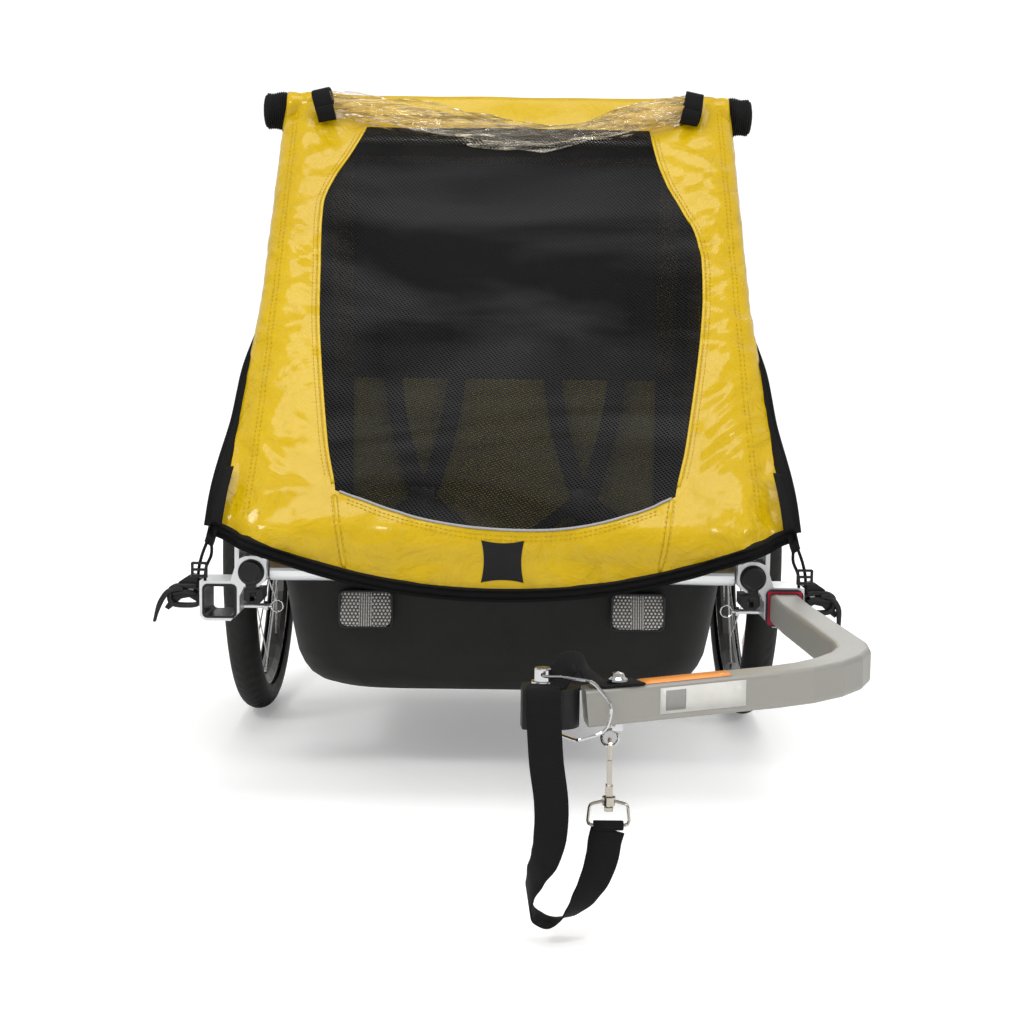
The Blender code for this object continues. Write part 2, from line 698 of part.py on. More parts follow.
def build_receiver_pin(side, sign):
    """Spring pin that locks the arm: along X under the rail, with a pull ring inboard."""
    tip = RECEIVER_X - ARM / 2 - 0.0004
    place = (sign * tip, LOCK_Y, LOCK_Z)
    pin = turned(
        f"receiver_pin_{side}", LOCK_PIN_PROFILE, place, (-sign, 0, 0), CHROME, 16
    )
    pin = to_mesh(pin)
    ring_r = 0.0070
    centre = (sign * (tip - 0.0375 - ring_r), LOCK_Y, LOCK_Z)
    ring = wire_ring(f"pull_ring_{side}", centre, ring_r, 0.0009, 16, sign)
    combine(pin, ring, operation="UNION")


# ---------------------------------------------------------------- hitch
# right-hand end of the hitch block, as (X, Y) from the hitch pin
COUPLER_END = [
    (-0.0080, 0.0215), (-0.0180, 0.0190), (-0.0195, 0.0), (-0.0180, -0.0190), (-0.0080, -0.0215),
]
# (radius, height from the hitch's centre)
HITCH_PIN_PROFILE = [
    (0.0, -0.0330), (0.0034, -0.0330), (0.0039, -0.0315), (0.0039, 0.0204), (0.0105, 0.0204),
    (0.0105, 0.0224), (0.0078, 0.0226), (0.0078, 0.0332), (0.0066, 0.0344), (0.0, 0.0344),
]
HEAD_HOLE_Z, TIP_HOLE_Z = 0.0290, -0.0270  # the pin's cross holes, from the hitch's centre
# the wire bail's corners past the pin's tip, from the hitch's centre, ending in the head hole
BAIL_CORNERS = [
    (0.0175, -0.0010, -0.0262), (0.0300, -0.0215, -0.0262), (0.0560, -0.0235, -0.0180),
    (0.0610, -0.0240, 0.0060), (0.0430, -0.0230, 0.0270), (0.0150, -0.0200, 0.0300),
    (0, -0.0150, HEAD_HOLE_Z), (0, 0.0065, HEAD_HOLE_Z),
]
BAIL_RADII = [0.006, 0.008, 0.016, 0.016, 0.016, 0.006, 0.006]


def build_hitch_coupler():
    """Flexible block, rounded where it swings at the arm's end."""
    outline = arc(0.0200, start=-90, step=15, count=13, x=HITCH_X + 0.0130)
    outline += [(HITCH_X + x, y) for x, y in COUPLER_END]
    outlines = [outline, circle(0.0043, 16, HITCH_X)]
    block = plate("hitch_coupler", outlines, 0.0350, RUBBER, (0, HITCH_Y, HITCH_Z), FLAT)
    edges = bevel(to_mesh(block), width=0.0025, segments=1)
    edges.angle_limit = math.radians(60)


def build_hitch_pin():
    """Upright pin, drilled along Y through its head and along X through its tip."""
    pin = to_mesh(turned("hitch_pin", HITCH_PIN_PROFILE, HITCH, (0, 0, 1), CHROME))
    head = shifted(HITCH, [(0, -0.02, HEAD_HOLE_Z), (0, 0.02, HEAD_HOLE_Z)])
    tip = shifted(HITCH, [(-0.02, 0, TIP_HOLE_Z), (0.02, 0, TIP_HOLE_Z)])
    combine(
        pin,
        cylinder("cross_hole", *head, 0.0021, CHROME, 12),
        cylinder("tip_hole", *tip, 0.0021, CHROME, 12),
    )


def build_pin_bail():
    """Wire from the head, out in front of the arm, and through the tip on an arc about the head."""
    drop = HEAD_HOLE_Z - TIP_HOLE_Z
    swings = [math.radians(-12 + 3 * i) for i in range(8)]
    low = shifted(
        HITCH, [(drop * math.sin(a), 0, HEAD_HOLE_Z - drop * math.cos(a)) for a in swings]
    )
    loop = fillet([low[-1]] + shifted(HITCH, BAIL_CORNERS), BAIL_RADII, 3)
    wire("pin_bail", low[:-1] + loop, 0.00145, CHROME, resolution=1)


# ---------------------------------------------------------------- strap bolt and snap hook
# (radius, height from the bolt's centre)
BOLT_PROFILE = [
    (0.0, -0.0245), (0.0055, -0.0245), (0.0055, -0.0180), (0.0033, -0.0176), (0.0033, 0.0202),
    (0.0095, 0.0202), (0.0090, 0.0220), (0.0062, 0.0240), (0.0050, 0.0270), (0.0, 0.0285),
]
# corners from SNAP: the hook from its open tip to its shank, and the swivel's bow
HOOK_CORNERS = [
    (0, -0.0045, -0.0095), (0, -0.0075, 0.0035), (0, 0, 0.0062), (0, 0.0085, 0.0030),
    (0, 0.0080, -0.0200), (0, 0.0010, -0.0400), (0, 0, -0.0470),
]
BOW_CORNERS = [
    (-0.0052, 0, -0.0500), (-0.0170, 0, -0.0530), (-0.0190, 0, -0.0720),
    (0.0190, 0, -0.0720), (0.0170, 0, -0.0530), (0.0052, 0, -0.0500),
]
SWIVEL_PROFILE = [(0.0026, -0.0535), (0.0060, -0.0535), (0.0060, -0.0460), (0.0026, -0.0460)]


def build_strap_bolt():
    """Bolt through the arm, with the eye below it that the snap hook clips to."""
    bolt = to_mesh(turned("strap_bolt", BOLT_PROFILE, BOLT, (0, 0, 1), CHROME))
    combine(bolt, wire_ring("eye", EYE, EYE_R, 0.0014, 18), operation="UNION")


def build_snap_hook():
    """Bent hook body hanging in the eye, with its heel, post and end button, and the gate."""
    path = fillet(shifted(SNAP, HOOK_CORNERS), [0.003, 0.004, 0.004, 0.02, 0.01], 3)
    hook = to_mesh(wire("snap_hook", path, 0.0019, CHROME, resolution=2))
    heel = shifted(SNAP, [(-0.0030, -0.0070, -0.0440), (0.0030, 0.0035, -0.0350)])
    post = shifted(SNAP, [(0, 0, -0.0560), (0, 0, -0.0430)])
    button = shifted(SNAP, [(0, 0, -0.0590), (0, 0, -0.0555)])
    combine(
        hook,
        box("heel", *heel, CHROME),
        cylinder("post", *post, 0.0022, CHROME, 12),
        cylinder("button", *button, 0.0042, CHROME, 12),
        operation="UNION",
    )
    gate = shifted(SNAP, [(-0.0022, -0.0060, -0.0345), (0.0022, -0.0036, -0.0122)])
    box("snap_gate", *gate, CHROME)


def build_snap_swivel():
    """Collar round the hook's post, with the bow that takes the strap."""
    swivel = to_mesh(turned("snap_swivel", SWIVEL_PROFILE, SNAP, (0, 0, 1), CHROME, 16))
    path = fillet(shifted(SNAP, BOW_CORNERS), [0.004] * 4, 2)
    combine(swivel, wire("bow", path, 0.0016, CHROME, resolution=1), operation="UNION")


# ---------------------------------------------------------------- safety strap
STRAP_W, STRAP_T = 0.0300, 0.0018
ON_BOLT = (BOLT_X, BOLT_Y, BOLT_Z + 0.0182)  # where the strap lies on the arm
ON_HITCH = (HITCH_X, HITCH_Y, HITCH_Z + 0.0190)  # where it lies on the hitch block
# by base point, each station: X, Y, Z from the base, then the X and Y of the strap's width
STRAP_STATIONS = [
    (ON_BOLT, [  # bolted on the arm, then rising into a hump
        (0.0180, 0, 0.0013, 0, 1), (-0.0140, 0, -0.0008, 0, 1), (-0.0300, 0.002, 0.0075, 0, 1),
    ]),
    (ON_HITCH, [  # down from the hump, pinned on the block and over its front edge
        (0.0350, 0.006, 0.0175, -0.2, 1), (0.0260, 0.004, 0.0125, -0.5, 1),
        (0.0150, 0.001, 0.0002, -0.8, 1), (0.0050, -0.0030, 0, -1, 0.45),
        (0, -0.0150, 0, -1, 0), (0, -0.0225, -0.0005, -1, 0),
        (0, -0.0255, -0.0050, -1, 0), (0, -0.0270, -0.0120, -1, 0),
    ]),
    (HITCH, [  # the loop that hangs below
        (0.001, -0.0275, -0.0100, -1, 0), (0.003, -0.0290, -0.0500, -1, 0),
        (0.006, -0.0300, -0.0850, -1, 0.2), (0.006, -0.0290, -0.1150, -0.75, 0.5),
        (-0.002, -0.0240, -0.1450, -0.5, 0.8), (-0.009, -0.0160, -0.1700, -0.3, 1),
        (-0.004, -0.0100, -0.1880, -0.2, 1), (0.012, -0.0060, -0.1945, -0.15, 1),
        (0.030, -0.0040, -0.1870, -0.1, 1), (0.046, -0.0020, -0.1650, -0.35, 1),
        (0.057, 0, -0.1350, -0.6, 0.8),
    ]),
    (SNAP, [(0, 0, -0.0760, -1, 0.6)]),  # the end at the swivel's bow
]


def build_safety_strap():
    shape = bmesh.new()
    rows = []
    for base, stations in STRAP_STATIONS:
        for x, y, z, across_x, across_y in stations:
            centre = Vector(shifted(base, [(x, y, z)])[0])
            half = Vector((across_x, across_y, 0)).normalized() * STRAP_W / 2
            rows.append([shape.verts.new(centre + half * k) for k in (1, 0, -1)])
    for row, after in zip(rows, rows[1:]):
        for i in range(2):
            shape.faces.new((row[i], after[i], after[i + 1]))
            shape.faces.new((row[i], after[i + 1], row[i + 1]))
    strap = home(mesh_object("safety_strap", shape), WEB)
    solidify(strap, "webbing", thickness=STRAP_T)
    bolt_ends = shifted(ON_BOLT, [(0, 0, -0.01), (0, 0, 0.01)])
    pin_ends = shifted(ON_HITCH, [(0, 0, -0.002), (0, 0, 0.012)])
    combine(
        strap,
        cylinder("strap_hole", *bolt_ends, 0.0037, BLACK, 16),
        cylinder("pin_hole", *pin_ends, 0.0046, BLACK, 16),
    )


# ---------------------------------------------------------------- soft goods
# canopy's side outline as (Y, Z), from the front foot over the top to the rear foot
CANOPY_CORNERS = [
    (-0.5520, 0.2500), (-0.5520, 0.3260), (-0.0780, 0.8880), (0.2620, 0.8880), (0.3920, 0.3260),
]
CANOPY_HEM_Z = 0.3300
CANOPY_CUT_REAR, CANOPY_CUT_BOTTOM = 0.46, 0.10  # clear of the cloth
ROLL_CORNERS = [
    (-0.232, -0.118, 0.882), (-0.120, -0.128, 0.872), (0.0, -0.134, 0.864),
    (0.120, -0.128, 0.872), (0.232, -0.118, 0.882),
]
# (Y, Z), seat then back
SLING_OUTLINE = [
    (-0.0950, 0.1750), (-0.0950, 0.1950), SLING_FOOT, SLING_TOP, (0.1600, 0.6300), (0.0820, 0.1650),
]
WEB_HALF = 0.014  # half the harness webbing's width
STRAP_TOP_X, STRAP_TOP = 0.072, 0.365  # outer edge and height of the shoulder straps' top ends
# (X from the seat's middle, height up the sling)
HARNESS_OUTLINE = [
    (-STRAP_TOP_X, STRAP_TOP), (-STRAP_TOP_X + 2 * WEB_HALF, STRAP_TOP), (-0.020, 0.190),
    (0.020, 0.190), (STRAP_TOP_X - 2 * WEB_HALF, STRAP_TOP), (STRAP_TOP_X, STRAP_TOP),
    (0.034, 0.140), (WEB_HALF, 0.128), (WEB_HALF, 0.035),
    (-WEB_HALF, 0.035), (-WEB_HALF, 0.128), (-0.034, 0.140),
]
# cover hook and its slot as (X outboard, Z); the outline sits inboard of its points by the inset
COVER_HOOK = [
    (0.3500, 0.2600), (0.3640, 0.2640), (0.3760, 0.2560), (0.3800, 0.2450), (0.3925, 0.2260),
    (0.3880, 0.2230), (0.3740, 0.2360), (0.3640, 0.2380), (0.3500, 0.2300),
]
COVER_HOOK_INSET = 0.0009
COVER_HOOK_SLOT = [(0.3560, 0.2520), (0.3680, 0.2520), (0.3680, 0.2460), (0.3560, 0.2460)]


def build_canopy():
    """Cloth cover, open below, cut to its hem but left longer across the front."""
    outline = fillet([(0, y, z) for y, z in CANOPY_CORNERS], [0.08, 0.05, 0.05], 4)
    rings = [[(x, p.y, p.z) for p in outline] for x in (-CANOPY_X, CANOPY_X)]
    shape = bmesh.new()
    for row in skin(shape, rings, closed=False):
        shape.faces.new(row)
    canopy = home(mesh_object("canopy", shape), YELLOW)
    solidify(canopy, "cloth", thickness=0.0022, offset=-1.0).use_even_offset = True
    canopy = to_mesh(canopy)
    for sign in (-1, 1):
        low = (sign * 0.258, -0.60, CANOPY_CUT_BOTTOM)
        high = (sign * 0.40, CANOPY_CUT_REAR, CANOPY_HEM_Z)
        combine(canopy, box("skirt_cut", low, high, BLACK))
    low = (-0.40, -0.5400, CANOPY_CUT_BOTTOM)
    high = (0.40, CANOPY_CUT_REAR, CANOPY_HEM_Z)
    combine(canopy, box("base_cut", low, high, BLACK))


def build_rain_window_roll():
    wire("rain_window_roll", fillet(ROLL_CORNERS, [0.3, 0.3, 0.3], 2), 0.0170, CLEAR)


def build_seat_sling():
    plate("seat_sling", [SLING_OUTLINE], 0.460, BLACK, (0, 0, 0), YZ_TO_X)


def build_harness(side, sign):
    """Shoulder straps meeting at the buckle, and the crotch strap below it."""
    lean = math.atan2(SLING_TOP[0] - SLING_FOOT[0], SLING_TOP[1] - SLING_FOOT[1])
    turn = Matrix.Rotation(-lean, 4, "X") @ XZ_TO_Y
    place = (sign * 0.122, SLING_FOOT[0] - 0.0062, SLING_FOOT[1])
    plate(f"harness_{side}", [HARNESS_OUTLINE], 0.0045, WEB, place, turn)


def build_cover_hook(side, sign):
    """Plastic tension hook that holds the canopy's lower corner to the receiver."""
    outline = mirrored([(x - COVER_HOOK_INSET, z) for x, z in COVER_HOOK], sign)
    slot = mirrored(COVER_HOOK_SLOT, sign)
    plate(f"cover_hook_{side}", [outline, slot], 0.024, BLACK, (0, -0.518, 0))


# ---------------------------------------------------------------- assembly
PAIRED = (
    build_rail, build_brackets, build_rail_cap, build_axle_block, build_front_reflector,
    build_hoop, build_corner_pad, build_wheel, build_receiver_pin, build_harness,
    build_cover_hook,
)
for build in PAIRED:
    for side, sign in SIDES.items():
        build(side, sign)

build_receiver_gasket()
build_cross_tubes()
build_floor_tub()
build_bar("roof_bar", ROOF_BAR_Y, ALU)
build_bar("seat_back_bar", SEAT_BAR_Y, BLACK)
build_tow_arm()
build_hitch_coupler()
build_hitch_pin()
build_pin_bail()
build_strap_bolt()
build_snap_hook()
build_snap_swivel()
build_safety_strap()
build_canopy()
build_rain_window_roll()
build_seat_sling()
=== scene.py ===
"""A child bicycle trailer: cloth canopy, seat, tub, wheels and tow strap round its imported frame.

Metres, +Z up. -Y is the direction of travel, so the trailer's right is -X and its left is +X.
Y places are stated from the wheel axle's centre line; spot() moves them to the frame's origin.
"""

import math
import random

import bmesh
import bpy
from mathutils import Matrix, Vector, noise


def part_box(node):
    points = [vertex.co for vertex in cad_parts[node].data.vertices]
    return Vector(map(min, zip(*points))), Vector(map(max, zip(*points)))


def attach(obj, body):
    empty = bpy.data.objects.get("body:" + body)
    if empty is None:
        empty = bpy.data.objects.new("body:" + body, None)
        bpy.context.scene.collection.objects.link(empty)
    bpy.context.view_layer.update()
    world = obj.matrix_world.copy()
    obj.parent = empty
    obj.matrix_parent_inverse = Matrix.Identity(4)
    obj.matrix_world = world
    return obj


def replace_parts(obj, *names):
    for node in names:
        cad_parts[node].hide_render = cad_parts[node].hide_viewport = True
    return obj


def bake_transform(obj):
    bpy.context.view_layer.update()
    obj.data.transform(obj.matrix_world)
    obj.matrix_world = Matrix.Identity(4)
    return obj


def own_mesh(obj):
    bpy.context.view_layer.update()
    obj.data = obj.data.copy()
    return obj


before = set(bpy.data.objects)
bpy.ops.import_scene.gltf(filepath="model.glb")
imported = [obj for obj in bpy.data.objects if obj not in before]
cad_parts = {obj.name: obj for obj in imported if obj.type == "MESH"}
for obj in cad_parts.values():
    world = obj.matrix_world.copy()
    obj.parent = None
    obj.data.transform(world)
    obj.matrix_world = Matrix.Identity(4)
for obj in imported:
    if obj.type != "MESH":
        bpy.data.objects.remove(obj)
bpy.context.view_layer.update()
random.seed(7)

SIDES = (("right", -1), ("left", 1))
AXIS_X = Vector((1, 0, 0))
AXIS_Y = Vector((0, 1, 0))
AXIS_Z = Vector((0, 0, 1))
CLOTH_KEEP, SEAT_KEEP, SKIRT_KEEP = 0.39, 0.30, 0.28  # share of the height left when folded
RAIL_X = 0.289  # the side rails' centre lines


def vec(x, y, z):
    return Vector((x, y, z))


def centre(node):
    lo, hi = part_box(node)
    return (Vector(lo) + Vector(hi)) / 2


AXLE = centre("rim_left").y


def spot(x, y, z):
    return vec(x, y + AXLE, z)


def lo_of(node):
    """A node's lowest corner, measured from the axle's centre line."""
    return Vector(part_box(node)[0]) - vec(0, AXLE, 0)


def hi_of(node):
    return Vector(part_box(node)[1]) - vec(0, AXLE, 0)


def mid_of(node):
    return (lo_of(node) + hi_of(node)) / 2


def smoothstep(start, end, x):
    t = min(1.0, max(0.0, (x - start) / (end - start)))
    return t * t * (3 - 2 * t)


def lerp(start, end, t):
    return start + (end - start) * t


def between(values, place):
    """The value at a fractional place in a list."""
    i = min(int(place), len(values) - 2)
    return lerp(values[i], values[i + 1], place - i)


def curve(points, x):
    """Smooth interpolation through (x, value) pairs."""
    if x <= points[0][0]:
        return points[0][1]

    def slope(i):
        low, high = points[max(i - 1, 0)], points[min(i + 1, len(points) - 1)]
        return (high[1] - low[1]) / (high[0] - low[0])

    for i in range(len(points) - 1):
        (x0, start), (x1, end) = points[i], points[i + 1]
        if x <= x1:
            span = x1 - x0
            t = (x - x0) / span
            return ((2 * t ** 3 - 3 * t * t + 1) * start
                    + (t ** 3 - 2 * t * t + t) * span * slope(i)
                    + (3 * t * t - 2 * t ** 3) * end
                    + (t ** 3 - t * t) * span * slope(i + 1))
    return points[-1][1]


def ripple(x, y, z):
    return noise.noise(vec(x, y, z))


def crest(x, y, z):
    """Noise with sharp crests, like a crease pressed into coated cloth."""
    return 1 - 2 * abs(ripple(x, y, z))


# =============================================================== materials
class Shader:
    """A short way to write a node tree."""

    def __init__(self, name):
        self.material = bpy.data.materials.new(name)
        self.material.use_nodes = True
        self.tree = self.material.node_tree
        self.bsdf = self.tree.nodes["Principled BSDF"]
        self.coord = self.node("ShaderNodeTexCoord").outputs["Object"]

    def node(self, kind, **values):
        made = self.tree.nodes.new(kind)
        for key, value in values.items():
            setattr(made, key, value)
        return made

    def link(self, source, socket):
        self.tree.links.new(source, socket)

    def put(self, socket, value):
        """Links a socket, or sets a number or a colour."""
        if hasattr(value, "is_linked"):
            self.link(value, socket)
        elif isinstance(value, tuple) and len(value) == 3:
            socket.default_value = (*value, 1)
        else:
            socket.default_value = value

    def math(self, operation, first, second=0.0, clamp=False):
        made = self.node("ShaderNodeMath", operation=operation, use_clamp=clamp)
        self.put(made.inputs[0], first)
        self.put(made.inputs[1], second)
        return made.outputs[0]

    def times(self, first, second):
        return self.math("MULTIPLY", first, second)

    def plus(self, first, second, clamp=False):
        return self.math("ADD", first, second, clamp)

    def minus(self, first, second):
        return self.math("SUBTRACT", first, second)

    def mapped(self, scale=(1, 1, 1), rotation=(0, 0, 0)):
        made = self.node("ShaderNodeMapping")
        self.link(self.coord, made.inputs["Vector"])
        made.inputs["Scale"].default_value = scale
        made.inputs["Rotation"].default_value = rotation
        return made.outputs["Vector"]

    def noise(self, scale, detail=4.0, rough=0.55, vector=None, distortion=0.0):
        made = self.node("ShaderNodeTexNoise")
        self.link(vector or self.coord, made.inputs["Vector"])
        made.inputs["Scale"].default_value = scale
        made.inputs["Detail"].default_value = detail
        made.inputs["Roughness"].default_value = rough
        made.inputs["Distortion"].default_value = distortion
        return made.outputs["Fac"]

    def voronoi(self, scale):
        made = self.node("ShaderNodeTexVoronoi", feature="F1")
        self.link(self.coord, made.inputs["Vector"])
        made.inputs["Scale"].default_value = scale
        return made.outputs["Distance"]

    def ramp(self, value, stops):
        made = self.node("ShaderNodeValToRGB")
        self.put(made.inputs[0], value)
        band = made.color_ramp
        while len(band.elements) < len(stops):
            band.elements.new(0.5)
        for element, (position, colour) in zip(band.elements, stops):
            element.position = position
            element.color = (*colour, 1)
        return made.outputs["Color"]

    def mix(self, factor, first, second):
        made = self.node("ShaderNodeMix", data_type="RGBA")
        self.put(made.inputs[0], factor)
        self.put(made.inputs[6], first)
        self.put(made.inputs[7], second)
        return made.outputs[2]

    def mix_shader(self, factor, first, second):
        made = self.node("ShaderNodeMixShader")
        self.put(made.inputs[0], factor)
        self.link(first.outputs[0], made.inputs[1])
        self.link(second.outputs[0], made.inputs[2])
        return made

    def show(self, shader):
        self.link(shader.outputs[0], self.tree.nodes["Material Output"].inputs["Surface"])

    def scaled(self, value, lo, hi):
        """A 0 to 1 value moved to lo to hi."""
        return self.plus(self.times(value, hi - lo), lo)

    def xyz(self, source=None):
        made = self.node("ShaderNodeSeparateXYZ")
        self.link(source or self.coord, made.inputs[0])
        return made.outputs

    def sine(self, value, period):
        """0 to 1, once in each period."""
        phase = 0.0
        turned = self.plus(self.times(value, math.tau / period), phase)
        return self.scaled(self.math("SINE", turned), 0.5, 1.0)

    def bump(self, height, distance, strength=1.0, under=None):
        made = self.node("ShaderNodeBump")
        self.link(height, made.inputs["Height"])
        made.inputs["Distance"].default_value = distance
        made.inputs["Strength"].default_value = strength
        if under:
            self.link(under, made.inputs["Normal"])
        return made.outputs["Normal"]

    def finish(self, colour, roughness, normal, metallic=0.0, **more):
        self.put(self.bsdf.inputs["Base Color"], colour)
        self.put(self.bsdf.inputs["Roughness"], roughness)
        self.put(self.bsdf.inputs["Metallic"], metallic)
        self.link(normal, self.bsdf.inputs["Normal"])
        for key, value in more.items():
            self.put(self.bsdf.inputs[key.replace("_", " ")], value)
        return self.material


def shaded(colour, factor, extra=0.0):
    return tuple(c * factor + extra for c in colour)


def weave(mat, period, tilt=0.0):
    """Over-and-under threads: two sine gratings multiplied, seen from any side."""
    x, y, z = mat.xyz(mat.mapped(rotation=(tilt, tilt * 0.6, tilt)))
    warp = mat.sine(mat.plus(x, mat.times(y, 0.5)), period)
    weft = mat.sine(mat.plus(z, mat.times(y, 0.5)), period)
    return mat.times(warp, weft)


def coated_fabric(name, colour, dark, through=0.10, shine=0.22):
    """Laminated cloth: a fine weave under a shiny coat, creased all over."""
    mat = Shader(name)
    crease = mat.noise(scale=17, detail=5, distortion=1.1)
    crumple = mat.noise(scale=62, detail=3, rough=0.5, distortion=0.6)
    tint = mat.mix(mat.noise(scale=6, detail=3, rough=0.6), dark, colour)
    red, green, blue = colour
    # paler, whiter yellow on the crumples' high points: a painted highlight standing in for glints
    # on the coat
    crumple_highlight = (min(1, red * 1.12), min(1, green * 1.25), blue * 3.0 + red * 0.03)
    tint = mat.mix(mat.times(mat.math("POWER", crumple, 3.0), 0.35), tint, crumple_highlight)
    threads = weave(mat, period=0.0016)
    normal = mat.bump(threads, distance=0.00012, strength=0.5)
    normal = mat.bump(crumple, distance=0.0024, strength=0.8, under=normal)
    normal = mat.bump(crease, distance=0.0085, strength=0.85, under=normal)
    rough = mat.scaled(mat.noise(scale=40, detail=3), shine - 0.04, shine + 0.12)
    mat.finish(tint, rough, normal, Specular_IOR_Level=0.14, Coat_Weight=0.50, Coat_Roughness=0.13)
    if through:
        back = mat.node("ShaderNodeBsdfTranslucent")
        mat.put(back.inputs["Color"], tint)
        mat.link(normal, back.inputs["Normal"])
        mat.show(mat.mix_shader(through, mat.bsdf, back))
    return mat.material


def net(name, colour, period, closed):
    """See-through netting: square holes between dark threads."""
    mat = Shader(name)
    x, y, z = mat.xyz(mat.mapped(rotation=(0, math.radians(33), 0)))
    up = mat.plus(z, mat.times(y, 0.85))
    warp = mat.sine(mat.plus(x, mat.times(y, 0.3)), period)
    hole = mat.times(warp, mat.sine(up, period))
    thread = mat.math("LESS_THAN", hole, closed)
    stretch = mat.mapped(scale=(0.35, 1.0, 1.3))
    # lighter and darker bands along the netting are painted light and shade, standing in for its
    # folds
    fold_light_and_shade = mat.noise(scale=6, detail=3, vector=stretch, distortion=0.7)
    shade = mat.ramp(fold_light_and_shade, [(0.38, colour), (0.62, shaded(colour, 3.2))])
    normal = mat.bump(hole, distance=0.0005, strength=0.8)
    mat.finish(shade, roughness=0.7, normal=normal, Specular_IOR_Level=0.03)
    clear = mat.node("ShaderNodeBsdfTransparent")
    mat.show(mat.mix_shader(thread, clear, mat.bsdf))
    return mat.material


def webbing(name, colour, period):
    mat = Shader(name)
    threads = weave(mat, period, tilt=0.4)
    fuzz = mat.noise(scale=900, detail=2)
    shade = mat.mix(threads, colour, shaded(colour, 1.5, 0.001))
    normal = mat.bump(fuzz, distance=0.0001, strength=0.4)
    normal = mat.bump(threads, distance=0.00018, strength=0.7, under=normal)
    return mat.finish(shade, mat.scaled(fuzz, 0.62, 0.92), normal,
                      Sheen_Weight=0.02, Sheen_Roughness=0.4, Specular_IOR_Level=0.14)


def brushed(name, colour, roughness, metallic=1.0, along=(2, 60, 60), scratches=0.10):
    """Extruded or drawn metal, with fine lines along one direction and hazy patches."""
    mat = Shader(name)
    lines = mat.noise(scale=38, detail=5, rough=0.6, vector=mat.mapped(scale=along))
    haze = mat.noise(scale=11, rough=0.6)
    shade = mat.mix(mat.times(lines, 0.55), colour, shaded(colour, 0.78))
    pale = tuple(min(1, c * 1.12) for c in colour)
    shade = mat.mix(mat.times(haze, 0.25), shade, pale)
    hazy = mat.scaled(haze, roughness - 0.06, roughness + 0.08)
    rough = mat.plus(hazy, mat.times(lines, scratches))
    return mat.finish(shade, rough, mat.bump(lines, distance=0.00010, strength=0.5), metallic)


def moulded(name, colour, roughness, grain, cells, specular=0.5):
    """Moulded plastic or rubber: a leathery grain, with rubbed, slightly shinier patches."""
    mat = Shader(name)
    grains = mat.voronoi(scale=cells)
    dust = mat.noise(scale=23, detail=5, rough=0.65)
    shade = mat.mix(dust, colour, shaded(colour, 1.75, 0.002))
    rough = mat.scaled(mat.noise(scale=30), roughness - 0.08, roughness + 0.10)
    normal = mat.bump(dust, distance=0.0006, strength=0.2)
    normal = mat.bump(grains, distance=grain, strength=0.7, under=normal)
    return mat.finish(shade, rough, normal, Specular_IOR_Level=specular)


def polished(name, colour, roughness):
    mat = Shader(name)
    smear = mat.noise(scale=120, rough=0.6)
    shade = mat.mix(smear, colour, shaded(colour, 0.82))
    rough = mat.scaled(smear, roughness * 0.6, roughness * 1.8)
    normal = mat.bump(mat.noise(scale=260, detail=2), distance=0.00005, strength=0.4)
    return mat.finish(shade, rough, normal, metallic=1.0)


YELLOW = coated_fabric("coated_yellow_fabric", (0.645, 0.430, 0.001), dark=(0.530, 0.335, 0.001))
YELLOW_SIDE = coated_fabric("coated_yellow_fabric_side", (0.610, 0.420, 0.002),
                            dark=(0.505, 0.325, 0.001))
BLACK_COATED = coated_fabric("coated_black_fabric", (0.009, 0.009, 0.0095),
                             dark=(0.006, 0.006, 0.0065), through=0.0, shine=0.36)
NET = net("black_netting", (0.0108, 0.0108, 0.0109), period=0.0042, closed=0.26)
WEB = webbing("black_webbing", (0.0052, 0.0052, 0.0055), period=0.0017)
BINDING = webbing("black_binding", (0.0052, 0.0052, 0.0056), period=0.0016)
THREAD = webbing("ochre_thread", (0.46, 0.30, 0.006), period=0.0009)
PIPING = webbing("pale_grey_piping", (0.30, 0.30, 0.31), period=0.0012)
ALU = brushed("extruded_aluminium", (0.80, 0.81, 0.82), roughness=0.33)
ALU_RAIL = brushed("drawn_aluminium_rail", (0.80, 0.81, 0.82), roughness=0.30, along=(60, 2, 60))
ARM = brushed("warm_grey_anodised", (0.315, 0.305, 0.277), roughness=0.42, metallic=0.35,
              along=(12, 12, 40), scratches=0.06)
RIM = brushed("anodised_black_rim", (0.060, 0.058, 0.056), roughness=0.30, metallic=0.8,
              along=(30, 30, 30))
TUB = moulded("tub_plastic", (0.0078, 0.0078, 0.0074), roughness=0.52, grain=0.00022, cells=420,
              specular=0.17)
PLASTIC = moulded("black_nylon", (0.0070, 0.0070, 0.0073), roughness=0.34, grain=0.00006,
                  cells=900, specular=0.28)
RUBBER = moulded("hitch_rubber", (0.008, 0.008, 0.0085), roughness=0.50, grain=0.00008,
                 cells=700, specular=0.22)
TYRE = moulded("tyre_rubber", (0.0095, 0.0093, 0.0090), roughness=0.62, grain=0.00010,
               cells=600, specular=0.22)
FOAM = moulded("foam_rubber", (0.0080, 0.0080, 0.0085), roughness=0.86, grain=0.0006,
               cells=380, specular=0.15)
CHROME = polished("polished_chrome", (0.66, 0.66, 0.67), roughness=0.09)
NICKEL = polished("plated_nickel", (0.52, 0.48, 0.42), roughness=0.14)
FOOT = moulded("glass_filled_nylon", (0.0065, 0.0065, 0.0070), roughness=0.30, grain=0.00005,
               cells=900, specular=0.30)


